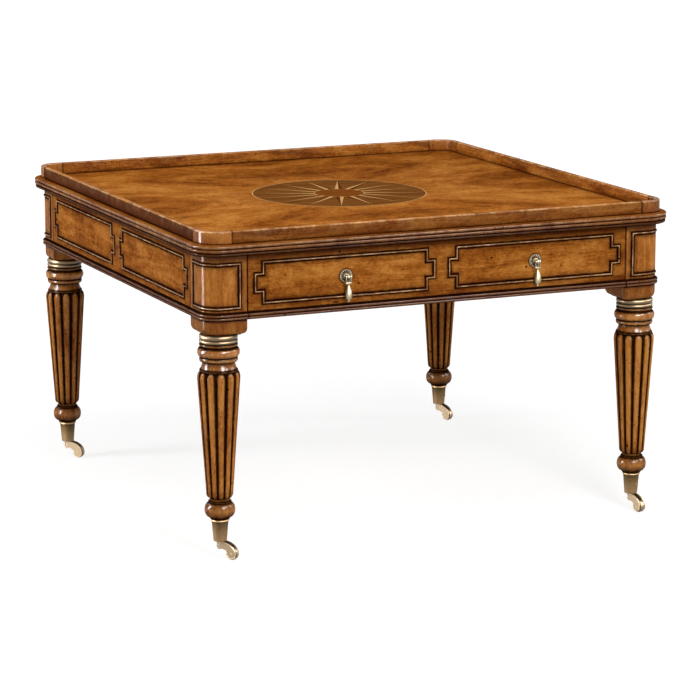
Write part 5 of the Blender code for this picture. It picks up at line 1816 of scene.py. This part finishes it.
        def shade(place):
            dark = dark_near(place.z, [bar_low - 0.0004], 0.0008)
            dark = max(dark, dark_near(place.z, [tear_low], 0.0007))
            return dark * 0.85, 0.45 if place.z < bar_low - 0.002 else 0.2

        piece(bm, f"tear_{side}", "pull", f"drop_{side}", f"pull_drop_{side}", angle=40, shade=shade)

    def build(self):
        for side, sign in (("left", -1), ("right", 1)):
            x = sign * PULL_REACH
            self.plate(side, x)
            self.shank(side, x)
            self.drop(side, x)
            dressed(f"pull_nut_{side}", "cup")


# Heading, distance, height, size and power of each lamp, and whether it is a glossy box
LAMPS = {
    "front_box": (-1, 3.0, 1.9, (0.8, 1.3), 52),
    "left_box": (104, 2.7, 1.6, (0.8, 1.3), 46),
    "right_box": (-74, 2.7, 1.7, (0.6, 1.2), 20),
    "top_box": (25, 0.9, 3.0, (1.8, 1.8), 31),
    "front_shine": (-1, 3.0, 1.9, (0.85, 1.1), 270, True),
    "left_shine": (104, 2.7, 1.6, (0.75, 1.1), 240, True),
    "right_shine": (-74, 2.7, 1.7, (0.65, 1.0), 170, True),
    "reed_shine": (-27, 3.0, 2.3, (0.6, 0.8), 130, True),
    "rear_shine": (156, 3.0, 2.2, (0.6, 0.7), 60, True),
    "low_shine": (98, 1.6, 0.55, (0.25, 0.9), 48, True),
}


class TABLE_OT_stage(bpy.types.Operator):
    """The studio floor, the lamps, the white surroundings and the camera"""

    bl_idname = "coffee_table.stage"
    bl_label = "Stage and camera"

    def seen(self, shader):
        """1 for what the camera sees, also in metal and through glass."""
        camera = shader.node("ShaderNodeLightPath", output="Is Camera Ray")
        return camera.most(camera.beside("Is Glossy Ray")).most(camera.beside("Is Transmission Ray"))

    def floor(self):
        bm = bmesh.new()
        bmesh.ops.create_grid(bm, x_segments=1, y_segments=1, size=30.0)
        mesh = bpy.data.meshes.new("studio_floor")
        bm.to_mesh(mesh)
        bm.free()
        made = placed("studio_floor", mesh)
        made.location.z = -SEAT_GAP
        shader = Shader("studio_floor")
        matt = shader.node("ShaderNodeBsdfDiffuse", {}, {"Color": (*settings().stage.floor, 1.0)})
        faint = shader.node("ShaderNodeBsdfDiffuse", {}, {"Color": (0.30, 0.30, 0.30, 1.0)})
        far = ((shader.x**2.0 + shader.y**2.0) ** 0.5).rise(0.7, 2.2)
        white = shader.mix(far, (0.79, 0.79, 0.79), (0.95, 0.95, 0.95))
        glow = shader.node("ShaderNodeEmission", {}, {"Color": white})
        white = shader.node("ShaderNodeAddShader", {}, {0: faint, 1: glow})
        both = shader.node("ShaderNodeMixShader", {}, {0: self.seen(shader), 1: matt, 2: white})
        shader.node("ShaderNodeOutputMaterial", {}, {"Surface": both})
        mesh.materials.append(shader.owner)

    def lamp(self, name, heading, distance, height, size, power, gloss=False):
        """A soft box at a heading, in degrees from the front towards the left.

        The diffuse boxes light the table, the glossy ones only give its lacquer and brass highlights.
        """
        data = bpy.data.lights.new(name, "AREA")
        data.shape = "RECTANGLE"
        data.size, data.size_y = size
        data.energy = power * settings().stage.light
        made = placed(name, data)
        angle = math.radians(heading)
        place = Vector((-distance * math.sin(angle), -distance * math.cos(angle), height))
        made.location = place
        made.rotation_euler = (Vector((0, 0, 0.35)) - place).to_track_quat("-Z", "Y").to_euler()
        made.visible_camera = False
        made.visible_glossy = gloss
        made.visible_diffuse = not gloss

    def surroundings(self):
        world = bpy.data.worlds.new("studio")
        bpy.context.scene.world = world
        shader = Nodes(world)
        least = settings().stage.world
        strength = self.seen(shader) * (1.0 - least) + least
        glow = shader.node("ShaderNodeBackground", {}, {"Color": (1, 1, 1, 1), "Strength": strength})
        shader.node("ShaderNodeOutputWorld", {}, {"Surface": glow})

    def camera(self):
        stage = settings().stage
        data = bpy.data.cameras.new("camera")
        data.lens = data.sensor_width * stage.focal_share
        data.clip_end = 100.0
        made = placed("camera", data)
        made.location = stage.camera
        made.rotation_euler = stage.aim
        bpy.context.scene.camera = made

    def execute(self, context):
        self.floor()
        self.surroundings()
        for name, lamp in LAMPS.items():
            self.lamp(name, *lamp)
        self.camera()
        context.scene.view_settings.view_transform = "Standard"
        return {"FINISHED"}


PIECES = (
    TABLE_OT_top,
    TABLE_OT_gallery,
    TABLE_OT_frieze,
    TABLE_OT_drawer,
    TABLE_OT_carcass,
    TABLE_OT_posts,
    TABLE_OT_legs,
    TABLE_OT_collars,
    TABLE_OT_casters,
    TABLE_OT_pulls,
    TABLE_OT_stage,
)
GROUPS = (
    WoodSettings,
    MetalSettings,
    MouldingSizes,
    LegSizes,
    CasterSizes,
    PullSizes,
    StageSettings,
    TableSettings,
)


class TABLE_PT_sidebar(bpy.types.Panel):
    """Lists the table's pieces and their settings"""

    bl_label = "Coffee Table"
    bl_idname = "TABLE_PT_sidebar"
    bl_space_type = "VIEW_3D"
    bl_region_type = "UI"
    bl_category = "Coffee Table"

    def draw(self, context):
        for operator in PIECES:
            self.layout.operator(operator.bl_idname)
        table = context.scene.coffee_table
        for name in TableSettings.__annotations__:
            box = self.layout.box()
            group = getattr(table, name)
            for key in type(group).__annotations__:
                box.prop(group, key)


def register():
    for cls in (*GROUPS, *PIECES, TABLE_PT_sidebar):
        bpy.utils.register_class(cls)
    bpy.types.Scene.coffee_table = bpy.props.PointerProperty(type=TableSettings)


def unregister():
    del bpy.types.Scene.coffee_table
    for cls in reversed((*GROUPS, *PIECES, TABLE_PT_sidebar)):
        bpy.utils.unregister_class(cls)


def main():
    register()
    for operator in PIECES:
        getattr(bpy.ops.coffee_table, operator.bl_idname.split(".")[1])()


if __name__ == "__main__":
    main()
